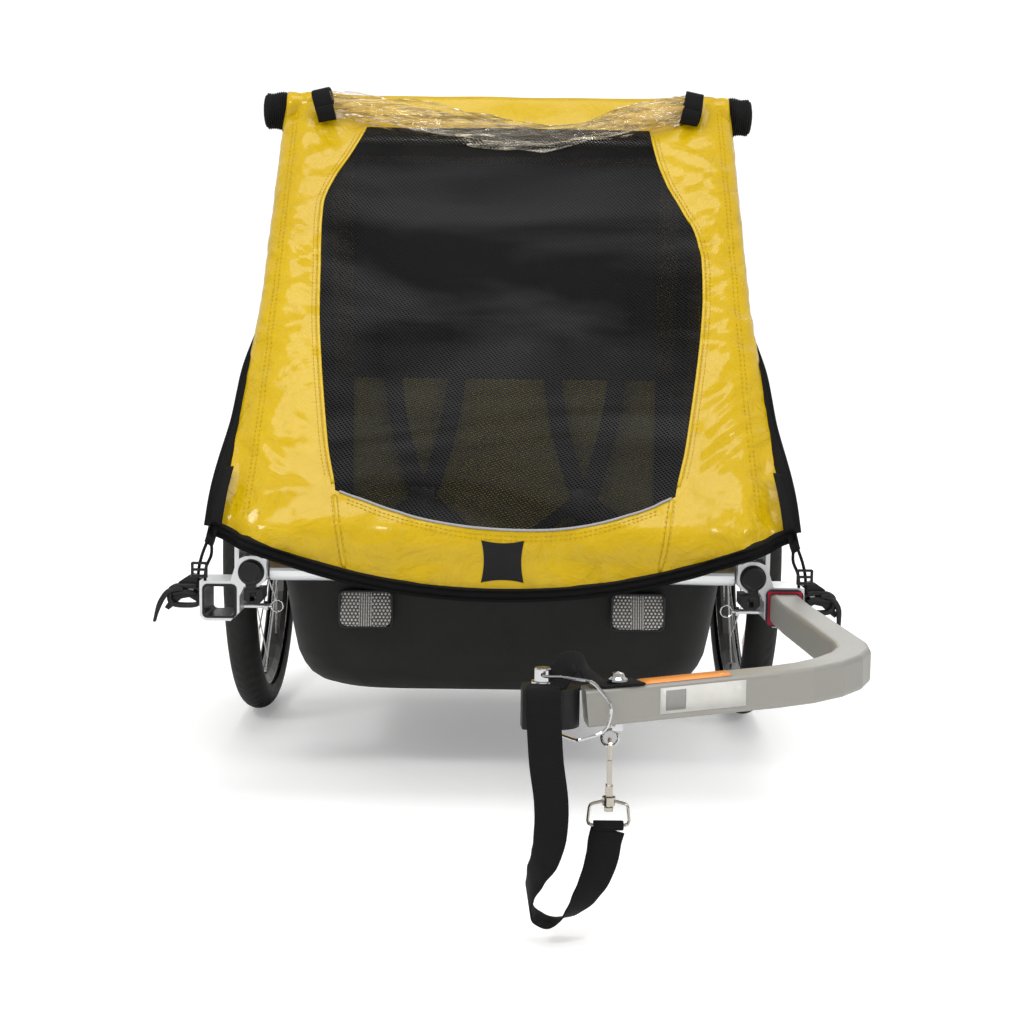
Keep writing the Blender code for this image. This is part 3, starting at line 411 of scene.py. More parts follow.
def seal_material():
    """Soft seal: crimson lip towards the arm, navy outer band."""
    mat = Shader("seal_rubber")
    x, _, z = mat.xyz()
    mid, corner = centre("receiver_gasket"), Vector(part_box("receiver_gasket")[1])
    across = mat.math("ABSOLUTE", mat.minus(x, mid.x))
    up = mat.math("ABSOLUTE", mat.minus(z, mid.z))
    reach = mat.math("MAXIMUM", mat.math("DIVIDE", across, corner.x - mid.x),
                     mat.math("DIVIDE", up, corner.z - mid.z))
    grime = mat.noise(scale=120, detail=3)
    red = mat.mix(grime, (0.30, 0.006, 0.020), (0.22, 0.004, 0.014))
    navy = mat.mix(grime, (0.008, 0.009, 0.022), (0.012, 0.013, 0.026))
    band_start = 0.905
    shade = mat.mix(mat.math("GREATER_THAN", reach, band_start), red, navy)
    normal = mat.bump(grime, distance=0.00006, strength=0.5)
    return mat.finish(shade, roughness=0.5, normal=normal, Specular_IOR_Level=0.25)


SEAL = seal_material()


def lens_material(name, colour, valley_shade, cell, band=None):
    """Rows of small prisms behind a clear face. band is the |x| of a fluted stripe's middle."""
    mat = Shader(name)
    x, _, z = mat.xyz()
    rising = mat.sine(mat.plus(x, mat.times(z, 0.58)), cell)
    falling = mat.sine(mat.minus(x, mat.times(z, 0.58)), cell)
    level = mat.sine(z, cell * 0.86)
    facets = mat.times(mat.times(rising, falling), level)
    # the prisms' valleys and the flutes' grooves are painted darker: painted shade in the recesses
    middle = tuple(lerp(low, high, 0.6) for low, high in zip(valley_shade, colour))
    shade = mat.ramp(facets, [(0.0, valley_shade), (0.10, middle), (0.34, colour)])
    if band is not None:
        half_band = 0.0075
        flutes = mat.ramp(mat.sine(x, cell * 0.62), [(0.2, valley_shade), (0.8, shaded(colour, 0.85))])
        offset = mat.math("ABSOLUTE", mat.minus(mat.math("ABSOLUTE", x), band))
        shade = mat.mix(mat.math("LESS_THAN", offset, half_band), shade, flutes)
    normal = mat.bump(facets, distance=0.0007, strength=0.9)
    return mat.finish(shade, roughness=0.20, normal=normal, metallic=0.35,
                      Coat_Weight=0.6, Coat_Roughness=0.05)


LENS = lens_material("clear_prism_lens", (0.56, 0.54, 0.52), valley_shade=(0.050, 0.046, 0.044),
                     cell=0.0044, band=abs(centre("front_reflector_left").x))
AMBER = lens_material("amber_prism_lens", (0.95, 0.30, 0.02), valley_shade=(0.45, 0.09, 0.004),
                      cell=0.0040)
RED = lens_material("red_prism_lens", (0.75, 0.02, 0.02), valley_shade=(0.25, 0.004, 0.004), cell=0.0046)


def film_material():
    """Rolled clear vinyl: mostly see-through, a little yellowed, with long bright creases; dark
    lines along its crackle are painted shade.
    """
    mat = Shader("clear_vinyl_film")
    streak = mat.noise(scale=26, detail=3, rough=0.5, distortion=0.6,
                       vector=mat.mapped(scale=(0.22, 3.2, 3.2)))
    crackle = mat.noise(scale=58, detail=3, rough=0.5, distortion=0.35,
                        vector=mat.mapped(scale=(0.10, 2.0, 2.0)))
    normal = mat.bump(crackle, distance=0.0030, strength=0.6)
    normal = mat.bump(streak, distance=0.008, strength=0.8, under=normal)
    mat.finish((0.80, 0.76, 0.68), roughness=0.05, normal=normal, Specular_IOR_Level=1.0,
               Coat_Weight=1.0, Coat_Roughness=0.02)
    clear = mat.node("ShaderNodeBsdfTransparent")
    # the see-through tint is nearly white with one dark band along the crackle: painted shade in
    # the creases
    tint_and_crease_shade = [(0.30, (0.99, 0.98, 0.96)), (0.56, (0.97, 0.95, 0.91)),
               (0.615, (0.58, 0.56, 0.52)), (0.66, (0.97, 0.95, 0.90))]
    mat.link(mat.ramp(crackle, tint_and_crease_shade), clear.inputs[0])
    gloss = mat.node("ShaderNodeBsdfGlossy")
    gloss.inputs["Roughness"].default_value = 0.08
    gloss.inputs["Color"].default_value = (1.0, 0.99, 0.96, 1)
    mat.link(normal, gloss.inputs["Normal"])
    facing = mat.node("ShaderNodeLayerWeight")
    facing.inputs["Blend"].default_value = 0.16
    mat.link(normal, facing.inputs["Normal"])
    edge_shine, base_shine = 0.60, 0.02
    shiny = mat.plus(mat.times(facing.outputs["Fresnel"], edge_shine), base_shine, clamp=True)
    skin = mat.mix_shader(shiny, clear, gloss)
    milky = mat.times(mat.math("POWER", streak, 5.0), 0.55)
    mat.show(mat.mix_shader(milky, skin, mat.bsdf))
    return mat.material


FILM = film_material()


def hub_material():
    """Steel spokes outside the flange and a black shell inside it, by distance from the axle."""
    axle_z, flange_radius = 0.247, 0.0292
    mat = Shader("spokes_and_hub_shell")
    _, y, z = mat.xyz()
    back = mat.minus(y, AXLE)
    rise = mat.minus(z, axle_z)
    radius = mat.math("SQRT", mat.plus(mat.times(back, back), mat.times(rise, rise)))
    outside = mat.math("GREATER_THAN", radius, flange_radius)
    grime = mat.noise(scale=90)
    steel = mat.mix(grime, (0.70, 0.70, 0.70), (0.52, 0.52, 0.51))
    shade = mat.mix(outside, (0.012, 0.012, 0.012), steel)
    return mat.finish(shade, mat.scaled(grime, 0.20, 0.36),
                      mat.bump(grime, distance=0.0001, strength=0.4), outside)


HUB = hub_material()


def seat_material():
    """Charcoal cloth; below split_z a brownish ochre is painted on it as painted light, standing
    in for yellow light coming through the canopy.
    """
    mat = Shader("seat_cloth")
    _, _, z = mat.xyz()
    split_z = 0.488
    upper = mat.math("GREATER_THAN", z, split_z)
    threads = weave(mat, period=0.0024)
    # below split_z: painted light, a brownish ochre standing in for yellow light through the
    # canopy
    canopy_light_tint = mat.mix(mat.noise(scale=14), (0.115, 0.092, 0.018), (0.195, 0.155, 0.028))
    black = mat.mix(mat.noise(scale=14), (0.006, 0.006, 0.0065), (0.013, 0.013, 0.014))
    shade = mat.mix(upper, canopy_light_tint, black)
    normal = mat.bump(mat.noise(scale=22), distance=0.003, strength=0.5)
    normal = mat.bump(threads, distance=0.0003, strength=0.7, under=normal)
    return mat.finish(shade, roughness=0.8, normal=normal, Sheen_Weight=0.05,
                      Specular_IOR_Level=0.12)


SEAT = seat_material()
PATCH = moulded("black_woven_patch", (0.0050, 0.0050, 0.0055), roughness=0.55, grain=0.00012,
                cells=1300, specular=0.22)
LABEL = moulded("blank_pale_label", (0.40, 0.39, 0.365), roughness=0.36, grain=0.00003, cells=900)
STRIPE = moulded("orange_edge_tape", (0.56, 0.19, 0.035), roughness=0.34, grain=0.00003, cells=900)
DARK_LABEL = moulded("grey_label_panel", (0.17, 0.165, 0.155), roughness=0.4, grain=0.00003,
                     cells=900)


# =============================================================== geometry helpers
def build(name, mesh, materials, body="frame", angle=None):
    """A smooth-shaded object from a bmesh, with edges sharper than angle (degrees) kept sharp."""
    bmesh.ops.remove_doubles(mesh, verts=mesh.verts, dist=0.00002)
    data = bpy.data.meshes.new(name)
    mesh.to_mesh(data)
    mesh.free()
    obj = bpy.data.objects.new(name, data)
    bpy.context.scene.collection.objects.link(obj)
    for material in materials if isinstance(materials, list) else [materials]:
        data.materials.append(material)
    data.shade_smooth()
    if body:
        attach(obj, body)
    if angle:
        data.set_sharp_from_angle(angle=math.radians(angle))
    return obj


def grid(mesh, rows, closed=False, index=lambda i, j: 0):
    """Faces between equal rows of points. index gives each face's material."""
    rings = [[mesh.verts.new(p) for p in row] for row in rows]
    count = len(rings[0])
    for i in range(len(rings) - 1):
        for j in range(count if closed else count - 1):
            k = (j + 1) % count
            face = mesh.faces.new((rings[i][j], rings[i][k], rings[i + 1][k], rings[i + 1][j]))
            face.material_index = index(i, j)
    return rings


def cap_ends(mesh, rings):
    mesh.faces.new(rings[-1])
    mesh.faces.new(list(reversed(rings[0])))


def recalc_normals(mesh):
    bmesh.ops.recalc_face_normals(mesh, faces=mesh.faces)


def sheet(name, rows, materials, slot=None, body="frame", ends=False, recalc=False, angle=None,
          **more):
    """One object skinned over rows of points."""
    mesh = bmesh.new()
    rings = grid(mesh, rows, **more)
    if ends:
        cap_ends(mesh, rings)
    if recalc:
        recalc_normals(mesh)
    return build(name, mesh, materials, body, angle)


def thicken(obj, thickness, offset=-1.0, name="cloth_thickness"):
    solid = obj.modifiers.new(name, "SOLIDIFY")
    solid.thickness = thickness
    solid.offset = offset


def squash(obj):
    """Gives the piece its own copy of its mesh."""
    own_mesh(obj)


def spline(points, i, t):
    """A point of the smooth curve through points, a share t of the way past point i."""
    before, start = points[max(0, i - 1)], points[i]
    end, after = points[i + 1], points[min(len(points) - 1, i + 2)]
    return 0.5 * ((2 * start) + (end - before) * t
                  + (2 * before - 5 * start + 4 * end - after) * t * t
                  + (3 * start - before - 3 * end + after) * t ** 3)


def resample(points, step):
    """Points every step along a smooth curve through the given points."""
    path = list(points)
    if len(path) > 2:
        path = [spline(points, i, k / 8) for i in range(len(points) - 1) for k in range(8)]
        path.append(points[-1])
    out = [path[0]]
    carry = 0.0
    for start, end in zip(path, path[1:]):
        length = (end - start).length
        while carry + length >= step and length > 1e-9:
            start = start.lerp(end, (step - carry) / length)
            out.append(start)
            length = (end - start).length
            carry = 0.0
        carry += length
    if (out[-1] - path[-1]).length > step * 0.3:
        out.append(path[-1])
    else:
        out[-1] = path[-1]
    return out


def tube(mesh, points, section, up=None, around=None, closed=False, scale=None):
    """Skins a section of (side, up) pairs along points.

    The section's up is a direction, or faces away from the point around. scale takes the share
    of the way along and gives one factor, or a (side, up) pair.
    """
    count = len(points)
    rows = []
    facing = None
    for i, point in enumerate(points):
        behind = points[(i - 1) % count] if closed or i else points[0]
        ahead = points[(i + 1) % count] if closed or i < count - 1 else points[-1]
        along = (ahead - behind).normalized()
        if around is not None:
            facing = point - around
        elif up is not None:
            facing = up
        elif facing is None:
            facing = AXIS_Z if abs(along.z) < 0.9 else AXIS_X
        facing = (facing - along * facing.dot(along)).normalized()
        side = along.cross(facing)
        size = scale(i / max(1, count - 1)) if scale else 1.0
        wide, tall = size if isinstance(size, tuple) else (size, size)
        rows.append([point + side * x * wide + facing * y * tall for x, y in section])
    if closed:
        rows.append(rows[0])
    rings = grid(mesh, rows, closed=True)
    if not closed:
        mesh.faces.new(list(reversed(rings[0])))
        mesh.faces.new(rings[-1])


def sweep(name, points, section, material=PLASTIC, slot="black_plastic", body="frame", **more):
    mesh = bmesh.new()
    tube(mesh, points, section, **more)
    return build(name, mesh, material, body)


def ribbon(name, points, section, material=BINDING, slot="webbing", keep=CLOTH_KEEP, **more):
    """A sweep with its own copy of its mesh."""
    obj = sweep(name, points, section, material, slot, **more)
    squash(obj)
    return obj


def oval(wide, high, count=10):
    angles = [math.tau * i / count for i in range(count)]
    return [(wide / 2 * math.cos(a), high / 2 * math.sin(a)) for a in angles]


def flat(wide, high, bulge=0.25):
    """Webbing seen end on, with rounded edges."""
    x0, x1 = wide / 2, wide / 2 - high * 0.6
    z0, z1 = high * bulge, high / 2
    return [(-x0, -z0), (-x1, -z1), (0, -z1), (x1, -z1), (x0, -z0),
            (x0, z0), (x1, z1), (0, z1), (-x1, z1), (-x0, z0)]


EDGE_TAPE = flat(0.0034, 0.0125, 0.35)
HEM_TAPE = flat(0.0036, 0.0125, 0.35)
WINDOW_TAPE = flat(0.0110, 0.0020)
SHORT_STITCH = (0.0036, 0.0022)  # thread length, gap
LONG_STITCH = (0.0042, 0.0030)
STITCH_ENDS = ((-0.5, 0.35, 0.0002), (-0.36, 1.0, 0), (0.36, 1.0, 0), (0.5, 0.35, 0.0002))


def stitches(name, points, out, size=SHORT_STITCH):
    """One object of short thread bars lying along a seam. out is the cloth's outward normal."""
    length, gap = size
    radius, lift = 0.00042, 0.0006
    mesh = bmesh.new()
    path = resample(points, (length + gap) / 2)
    for i in range(0, len(path) - 2, 2):
        mid = (path[i] + path[i + 1]) / 2 + out * lift
        along = (path[i + 1] - path[i]).normalized()
        side = along.cross(out).normalized()
        rows = []
        for share, swell, sink in STITCH_ENDS:
            middle = mid + along * share * length - out * sink
            rows.append([middle + (side * math.cos(a) + out * math.sin(a)) * radius * swell
                         for a in (math.tau * k / 5 for k in range(5))])
        cap_ends(mesh, grid(mesh, rows, closed=True))
    squash(build(name, mesh, THREAD))


def rounded_box(name, lo, hi, material, radius, body="frame", segments=3):
    mesh = bmesh.new()
    bmesh.ops.create_cube(mesh, size=1)
    for vert in mesh.verts:
        vert.co = Vector([lerp(lo[k], hi[k], vert.co[k] + 0.5) for k in range(3)])
    bmesh.ops.bevel(mesh, geom=mesh.edges[:], offset=radius, segments=segments,
                    affect="EDGES", profile=0.5)
    return build(name, mesh, material, body, angle=40)


def lathe(name, profile, middle, axis, material, body, steps, wobble=None, angle=38):
    """A (radius, height) profile turned about an axis. wobble(turn, radius, height) adds to it."""
    axis = axis.normalized()
    side = axis.orthogonal().normalized()
    other = axis.cross(side)
    mesh = bmesh.new()
    rows = []
    for k in range(steps):
        turn = math.tau * k / steps
        out = side * math.cos(turn) + other * math.sin(turn)
        row = []
        for radius, height in profile:
            extra = wobble(turn, radius, height) if wobble and radius > 0.001 else 0
            row.append(middle + out * (radius + extra) + axis * height)
        rows.append(row)
    rows.append(rows[0])
    grid(mesh, rows)
    bmesh.ops.remove_doubles(mesh, verts=mesh.verts, dist=0.00002)
    recalc_normals(mesh)
    return build(name, mesh, material, body, angle)


def paint(material, *nodes):
    """Gives CAD nodes a material. A name ending in _ stands for its left and right nodes."""
    for node in nodes:
        for name in (node + "left", node + "right") if node.endswith("_") else (node,):
            for slot in bpy.data.objects[name].material_slots:
                slot.material = material


# =============================================================== CAD nodes
paint(ALU, "front_bracket_", "rear_bracket_", "axle_block_")
paint(ALU_RAIL, "side_rail_", "front_crossbar", "rear_crossbar", "seat_crossbar")
paint(ARM, "tow_arm")
paint(PLASTIC, "rail_cap_", "receiver_liner_", "release_button_", "cover_hook_")
paint(FOOT, "hoop_")
paint(TUB, "floor_tub")
paint(SEAL, "receiver_gasket")
paint(RUBBER, "hitch_coupler")
paint(CHROME, "hitch_pin", "pin_bail", "strap_bolt", "axle_", "hub_bearing_", "receiver_pin_")
paint(NICKEL, "snap_hook", "snap_gate", "snap_swivel")
paint(LENS, "front_reflector_")
paint(HUB, "spoked_hub_")
paint(RIM, "rim_")

# =============================================================== front cover
FOOT_Y, FOOT_Z = lo_of("canopy").y, lo_of("canopy").z + 0.076  # lower end of the front slope
HEAD_Y, HEAD_Z = mid_of("roof_bar").y - 0.068, hi_of("canopy").z - 0.004  # its upper end
REAR_FOOT = hi_of("canopy").y
REAR_Y = REAR_FOOT - 0.130
HALF = hi_of("canopy").x
SLOPE = vec(0, HEAD_Y - FOOT_Y, HEAD_Z - FOOT_Z).normalized()
FACE = vec(0, -SLOPE.z, SLOPE.y)  # the front slope's outward normal
HANG_FACE = vec(0, -1, 0.12)  # outwards, where the cover hangs below the slope
HANG = 0.735  # metres of hang to each unit of t below 0

# the netting window's side edges: share up the slope, x
WINDOW_RIGHT = [(-0.05, -0.187), (0.07, -0.1955), (0.163, -0.209), (0.406, -0.2315),
                (0.573, -0.2395), (0.71, -0.2425), (0.783, -0.2290), (0.90, -0.197), (1.0, -0.182)]
WINDOW_LEFT = [(-0.05, 0.193), (0.06, 0.1995), (0.163, 0.2157), (0.406, 0.2440), (0.541, 0.2520),
               (0.64, 0.2480), (0.762, 0.2151), (0.854, 0.2006), (1.0, 0.190)]
NET_TOP = 0.915
SEAM_X = 0.3005
ACROSS_STEPS = (16, 56, 16)  # seam to window, window, window to seam
UP_STEPS = (20, 96, 10)  # hem to window, window, window to top
WRAP_STEPS = 6  # from the seam round the corner
HEM_MID_Z, HEM_END_Z = 0.2490, 0.3235
EDGE_LOW_X, EDGE_HIGH_X = 0.3345, 0.3135


def wrinkle(x, t):
    """Creases of the front cover along its normal: side-seam pulls, and gathers at the bottom."""
    sign = 1 if x > 0 else -1
    wide = abs(x)
    soft = ripple(x * 9.0, t * 11.0, 0.3) * 0.0030
    side = smoothstep(0.19, 0.27, wide)
    pulls = crest(x * 8.0 + 3.1, t * 15.0 + x * 12.0 * sign, 1.7)
    cross = crest(x * 15.0, t * 26.0 - wide * 30.0, 4.1)
    fine = ripple(x * 42.0, t * 58.0 + wide * 20.0, 6.4)
    down = smoothstep(0.14, -0.02, t)
    fan = crest(x * 19.0 + (t - 0.05) * x * 60.0, t * 7.0, 7.7)
    gather = ripple(x * 75.0, t * 10.0, 2.7)
    broad = ripple(x * 13.0, t * 7.0, 9.2)
    corner = smoothstep(0.20, 0.30, wide) * smoothstep(0.25, 0.0, t)
    tug = crest(wide * 18.0 - t * 20.0, t * 16.0 + wide * 26.0, 12.0 + sign)
    return (soft + side * (0.0040 * pulls + 0.0028 * cross + 0.0012 * fine)
            + down * (0.0048 * fan + 0.0021 * gather + 0.0042 * broad) + corner * 0.0024 * tug)


def front_point(x, t, proud=0.0):
    """A point of the front cover: x across, t up the slope. Below t = 0 it hangs down."""
    belly = -0.010 * math.sin(math.pi * min(1, max(0, t))) * (1 - (x / 0.34) ** 2)
    edge = 0.012 * smoothstep(0.27, 0.312, abs(x)) ** 1.5
    # the lower corners stand clear of the brackets
    clear = 0.0085 * smoothstep(0.215, 0.285, abs(x)) * smoothstep(0.13, 0.01, t)
    out = belly - edge + clear + proud + wrinkle(x, t)
    if t >= 0:
        base = spot(x, lerp(FOOT_Y, HEAD_Y, t), lerp(FOOT_Z, HEAD_Z, t))
        turn = smoothstep(0.06, 0.0, t)
        return base + (FACE * (1 - turn) + HANG_FACE * turn).normalized() * out
    drop = -t * HANG
    base = spot(x, FOOT_Y - 0.004 * math.sin(min(1, drop / 0.04) * math.pi), FOOT_Z - drop)
    return base + HANG_FACE.normalized() * out


def height_t(z):
    return (z - FOOT_Z) / (HEAD_Z - FOOT_Z if z > FOOT_Z else HANG)


def bottom_t(x):
    """The hem's t at x: a smooth smile from corner to corner."""
    return height_t(lerp(HEM_MID_Z, HEM_END_Z, min(1.0, abs(x) / 0.333) ** 2.1))


def window_bottom_t(x):
    """The netting's lower edge: nearly flat in the middle and rising towards the corners."""
    off = x - 0.030
    rise = 0.0415 * (-off / 0.226) ** 2.2 if off < 0 else 0.0375 * (off / 0.169) ** 2.0
    return height_t(0.3232 + rise)


def cover_point(across, up):
    """The x and t of a grid place.

    across: 0 right seam, 1 and 2 the window's edges, 3 left seam.
    up: 0 hem, 1 window bottom, 2 window top, 3 top.
    """
    t = 0.5
    for _ in range(6):  # x and t depend on each other, so they are settled in turns
        edges = (-SEAM_X, curve(WINDOW_RIGHT, t), curve(WINDOW_LEFT, t), SEAM_X)
        x = between(edges, across)
        t = between((bottom_t(x), window_bottom_t(x), NET_TOP, 1.0), up)
    return x, t


def side_edge(side, t):
    """The bound edge, wrapped on to the side and pulled out to the hook near the foot."""
    flare = min(1.0, max(0.0, t) / 0.48) ** 0.85
    back_y = lerp(FOOT_Y, HEAD_Y, t) + 0.030
    y = lerp(FOOT_Y - 0.001, back_y, smoothstep(-0.02, 0.22, t))
    z = lerp(HEM_END_Z, HEAD_Z, max(0, t))
    return spot(side * lerp(EDGE_LOW_X, EDGE_HIGH_X, flare), y, z)


def corner_wrap(side, x, t):
    """Points from the seam round the corner to the bound edge."""
    seam = front_point(x, t)
    edge = side_edge(side, max(t, 0.0))
    corner = vec(side * 0.3125, seam.y + 0.0095, (seam.z + edge.z) / 2)
    out = []
    for k in range(1, WRAP_STEPS + 1):
        f = k / WRAP_STEPS
        point = seam.lerp(corner, f).lerp(corner.lerp(edge, f), f)
        out.append(point + AXIS_X * side * 0.0012 * ripple(f * 3, t * 40, side * 5))
    return out


def places(counts):
    """0 to len(counts), each unit divided into its count of steps."""
    return [i + k / n for i, n in enumerate(counts) for k in range(n)] + [len(counts)]


rows = []
for up in places(UP_STEPS):
    points = [cover_point(across, up) for across in places(ACROSS_STEPS)]
    rows.append(list(reversed(corner_wrap(-1, *points[0])))
                + [front_point(x, t) for x, t in points] + corner_wrap(1, *points[-1]))
net_first = WRAP_STEPS + ACROSS_STEPS[0]
net_last = net_first + ACROSS_STEPS[1]


def cover_index(i, j):
    high = UP_STEPS[0] <= i < UP_STEPS[0] + UP_STEPS[1]
    return 1 if high and net_first <= j < net_last else 0


cover = sheet("front_cover", rows, [YELLOW, NET], "yellow_fabric", index=cover_index)
thicken(cover, 0.0009)
squash(cover)

# folded tape round the hem and the side edges, and a tab at each edge's lower end
hem = resample([p + vec(0, -0.0012, -0.0005) for p in rows[0]], 0.006)
ribbon("cover_hem_binding", hem, flat(0.0034, 0.0135, 0.35), up=vec(0, -0.25, 1))
for label, side in SIDES:
    edge = []
    for k in range(19):
        inward = 0.0006 - 0.0100 * smoothstep(12, 18, k)
        back = 0.004 + 0.012 * smoothstep(10, 18, k)
        edge.append(side_edge(side, k / 40) + vec(side * inward, back, 0))
    ribbon(f"cover_edge_binding_{label}", resample(edge, 0.008), EDGE_TAPE,
           up=vec(side * 0.45, 1, 0.2))
    tab = [side_edge(side, t) + vec(-side * 0.0070, -0.0055, 0)
           for t in (0.004, 0.03, 0.06, 0.09, 0.115)]
    ribbon(f"cover_corner_tab_{label}", resample(tab, 0.006), flat(0.0140, 0.0022), WEB,
           up=vec(side * 0.25, -1, 0.15))

# netting's lower edge: pale piping, then double stitching in the yellow below it
pipe = [front_point(x / 200, window_bottom_t(x / 200), 0.0012) for x in range(-38, 40)]
ribbon("window_piping", resample(pipe, 0.005), oval(0.0030, 0.0030, 8), PIPING)
for k, down in enumerate((0.010, 0.0165)):
    seam = [front_point(x / 100, window_bottom_t(x / 100) - down) for x in range(-18, 19)]
    stitches(f"window_hem_stitch_{k}", seam, FACE)


def cover_seams(label, side, outline):
    """Tape and stitching down one side of the window, its side seam and its panel seam."""
    edge = [front_point(curve(outline, t / 60) + side * 0.0018, t / 60, 0.0006)
            for t in range(5, 55)]
    ribbon(f"window_edge_{label}", resample(edge, 0.006), flat(0.0042, 0.0014), YELLOW,
           "yellow_fabric", up=FACE)
    for k, off in enumerate((0.005, 0.0095)):
        seam = [front_point(curve(outline, t / 60) + side * off, t / 60) for t in range(6, 55)]
        stitches(f"window_side_stitch_{label}_{k}", seam, FACE)
    for k, off in enumerate((0.0, -0.0055)):
        seam = [front_point(side * (SEAM_X - 0.004 + off), t / 60) for t in range(1, 59)]
        stitches(f"cover_side_stitch_{label}_{k}", seam, FACE, LONG_STITCH)
    # panel seam from the window's corner down to the hem
    top_x, low_x = side * 0.1955, side * 0.1810
    for k, off in enumerate((-0.0035, 0.0035)):
        low_t = bottom_t(low_x) + 0.012
        seam = [front_point(lerp(top_x, low_x, q / 10) + off, lerp(0.055, low_t, q / 10))
                for q in range(11)]
        stitches(f"panel_stitch_{label}_{k}", seam, FACE, LONG_STITCH)
    low_t = bottom_t(low_x) + 0.010
    fold = [front_point(lerp(top_x, low_x, q / 10), lerp(0.058, low_t, q / 10), 0.0004)
            for q in range(11)]
    ribbon(f"panel_seam_{label}", resample(fold, 0.006), flat(0.0045, 0.0012), YELLOW,
           "yellow_fabric", up=FACE)


cover_seams("right", -1, WINDOW_RIGHT)
cover_seams("left", 1, WINDOW_LEFT)


def hem_patch():
    """Plain sewn patch on the hem band, with pulled-in sides."""
    patch_t = (0.2870 - FOOT_Z) / HANG
    half, pull = 0.0246, 0.13
    rows = []
    for j in range(13):
        v = j / 12 * 2 - 1
        row = []
        for i in range(13):
            u = i / 12 * 2 - 1
            x = u * half * (1 - pull * (1 - v * v))
            z = v * half * (1 - pull * (1 - u * u))
            lift = 0.0004 if max(abs(u), abs(v)) > 0.99 else 0.0016
            row.append(front_point(x, patch_t + z / HANG, lift + 0.0003))
        rows.append(row)
    squash(sheet("plain_patch", rows, PATCH, "webbing"))


hem_patch()

# =============================================================== sides, roof and back as one sheet
SIDE_HEM_Z = 0.331
# where each run of stations starts along y, and its steps
Y_BREAKS = [(FOOT_Y + 0.026, 6), (-0.400, 16), (-0.095, 6), (HEAD_Y, 22), (0.215, 6),
            (REAR_Y, 10), (REAR_FOOT, 0)]
stations = [lerp(y0, y1, i / n)
            for (y0, n), (y1, _) in zip(Y_BREAKS, Y_BREAKS[1:]) for i in range(n)]
stations.append(REAR_FOOT)
marks = [sum(n for _, n in Y_BREAKS[:k]) for k in range(len(Y_BREAKS))]
window_front, slope_tape, window_rear = marks[1], marks[2], marks[4]


def top_z(y):
    if y < HEAD_Y:
        return lerp(FOOT_Z - 0.011, HEAD_Z - 0.026, (y - FOOT_Y) / (HEAD_Y - FOOT_Y))
    if y < REAR_Y:
        return HEAD_Z + 0.002
    return lerp(HEAD_Z, FOOT_Z, (y - REAR_Y) / (REAR_FOOT - REAR_Y))


def shell_section(y, side):
    """Side of the canopy at one station, from its hem up and round the top corner."""
    top = top_z(y)
    height = max(0.004, top - SIDE_HEM_Z)
    radius = min(lerp(0.006, 0.026, smoothstep(HEAD_Y - 0.03, HEAD_Y, y)), height * 0.45)
    fit = smoothstep(FOOT_Y, -0.30, y) * smoothstep(REAR_FOOT + 0.05, 0.15, y)
    tuck = (0.0120 * smoothstep(FOOT_Y + 0.11, FOOT_Y + 0.01, y)
            + 0.0020 * smoothstep(HEAD_Y, HEAD_Y - 0.04, y))
    out = []
    for k in range(17):
        v = k / 16
        z = SIDE_HEM_Z + (height - radius) * v
        billow = 0.0075 * math.sin(math.pi * min(1, v * 1.02)) * fit
        crease = (0.0022 * ripple(y * 11, z * 13, side * 3)
                  + 0.0016 * ripple(y * 30 + z * 12, z * 24, side * 8))
        x = HALF - 0.002 - tuck + billow + crease * min(1, height * 6)
        out.append(spot(side * x, y, z))
    for k in range(1, 7):
        a = math.pi / 2 * k / 6
        x = HALF - 0.002 - tuck - radius + radius * math.cos(a)
        out.append(spot(side * x, y, top - radius + radius * math.sin(a)))
    return out


REAR_FACE = vec(0, 0.974, 0.225)


def roof_row(y):
    out = []
    for k in range(1, 28):
        u = k / 28 * 2 - 1
        x = u * (HALF - 0.028)
        sag = -0.014 * (1 - u * u) * smoothstep(REAR_FOOT + 0.2, 0.1, y)
        sag *= 0.6 if y > REAR_Y else 1.0
        crease = 0.0028 * ripple(x * 9, y * 10, 2.2) + 0.0014 * ripple(x * 34, y * 16, 5.2)
        lift = REAR_FACE * (crease + sag * 0.3) if y > REAR_Y else AXIS_Z * (sag + crease)
        out.append(spot(x, y, top_z(y)) + lift)
    return out


def side_index(i, j):
    if window_front <= i < window_rear and 5 <= j < 14:
        return 1
    return 2 if j < 2 else 0


def top_index(i, j):
    if rear_first <= i < rear_first + 4 and 6 <= j < 22:
        return 1
    return 2 if i >= rear_first + 6 else 0


mesh = bmesh.new()
walls = {side: [shell_section(y, side) for y in stations] for side in (-1, 1)}
for side in (-1, 1):
    grid(mesh, walls[side], index=side_index)
roof = [(i, y) for i, y in enumerate(stations) if y >= HEAD_Y - 1e-6]
top_rows = [[walls[-1][i][-1]] + roof_row(y) + [walls[1][i][-1]] for i, y in roof]
rear_first = next(k for k, (_, y) in enumerate(roof) if y >= REAR_Y + 0.01)
grid(mesh, top_rows, index=top_index)
bmesh.ops.remove_doubles(mesh, verts=mesh.verts, dist=0.0001)
recalc_normals(mesh)
bmesh.ops.subdivide_edges(mesh, edges=mesh.edges, cuts=1, use_grid_fill=True, smooth=0.6)
shell = build("canopy_shell", mesh, [YELLOW_SIDE, NET, BLACK_COATED])
thicken(shell, 0.0009, 0.0)
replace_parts(shell, "canopy")
squash(shell)


def rectangle(grid_rows, i0, i1, j0, j1):
    """The grid's points round a rectangle of rows i0 to i1 and columns j0 to j1."""
    loop = [grid_rows[i0][j] for j in range(j0, j1 + 1)]
    loop += [grid_rows[i][j1] for i in range(i0 + 1, i1)]
    loop += [grid_rows[i1][j] for j in range(j1, j0 - 1, -1)]
    return loop + [grid_rows[i][j0] for i in range(i1 - 1, i0, -1)]


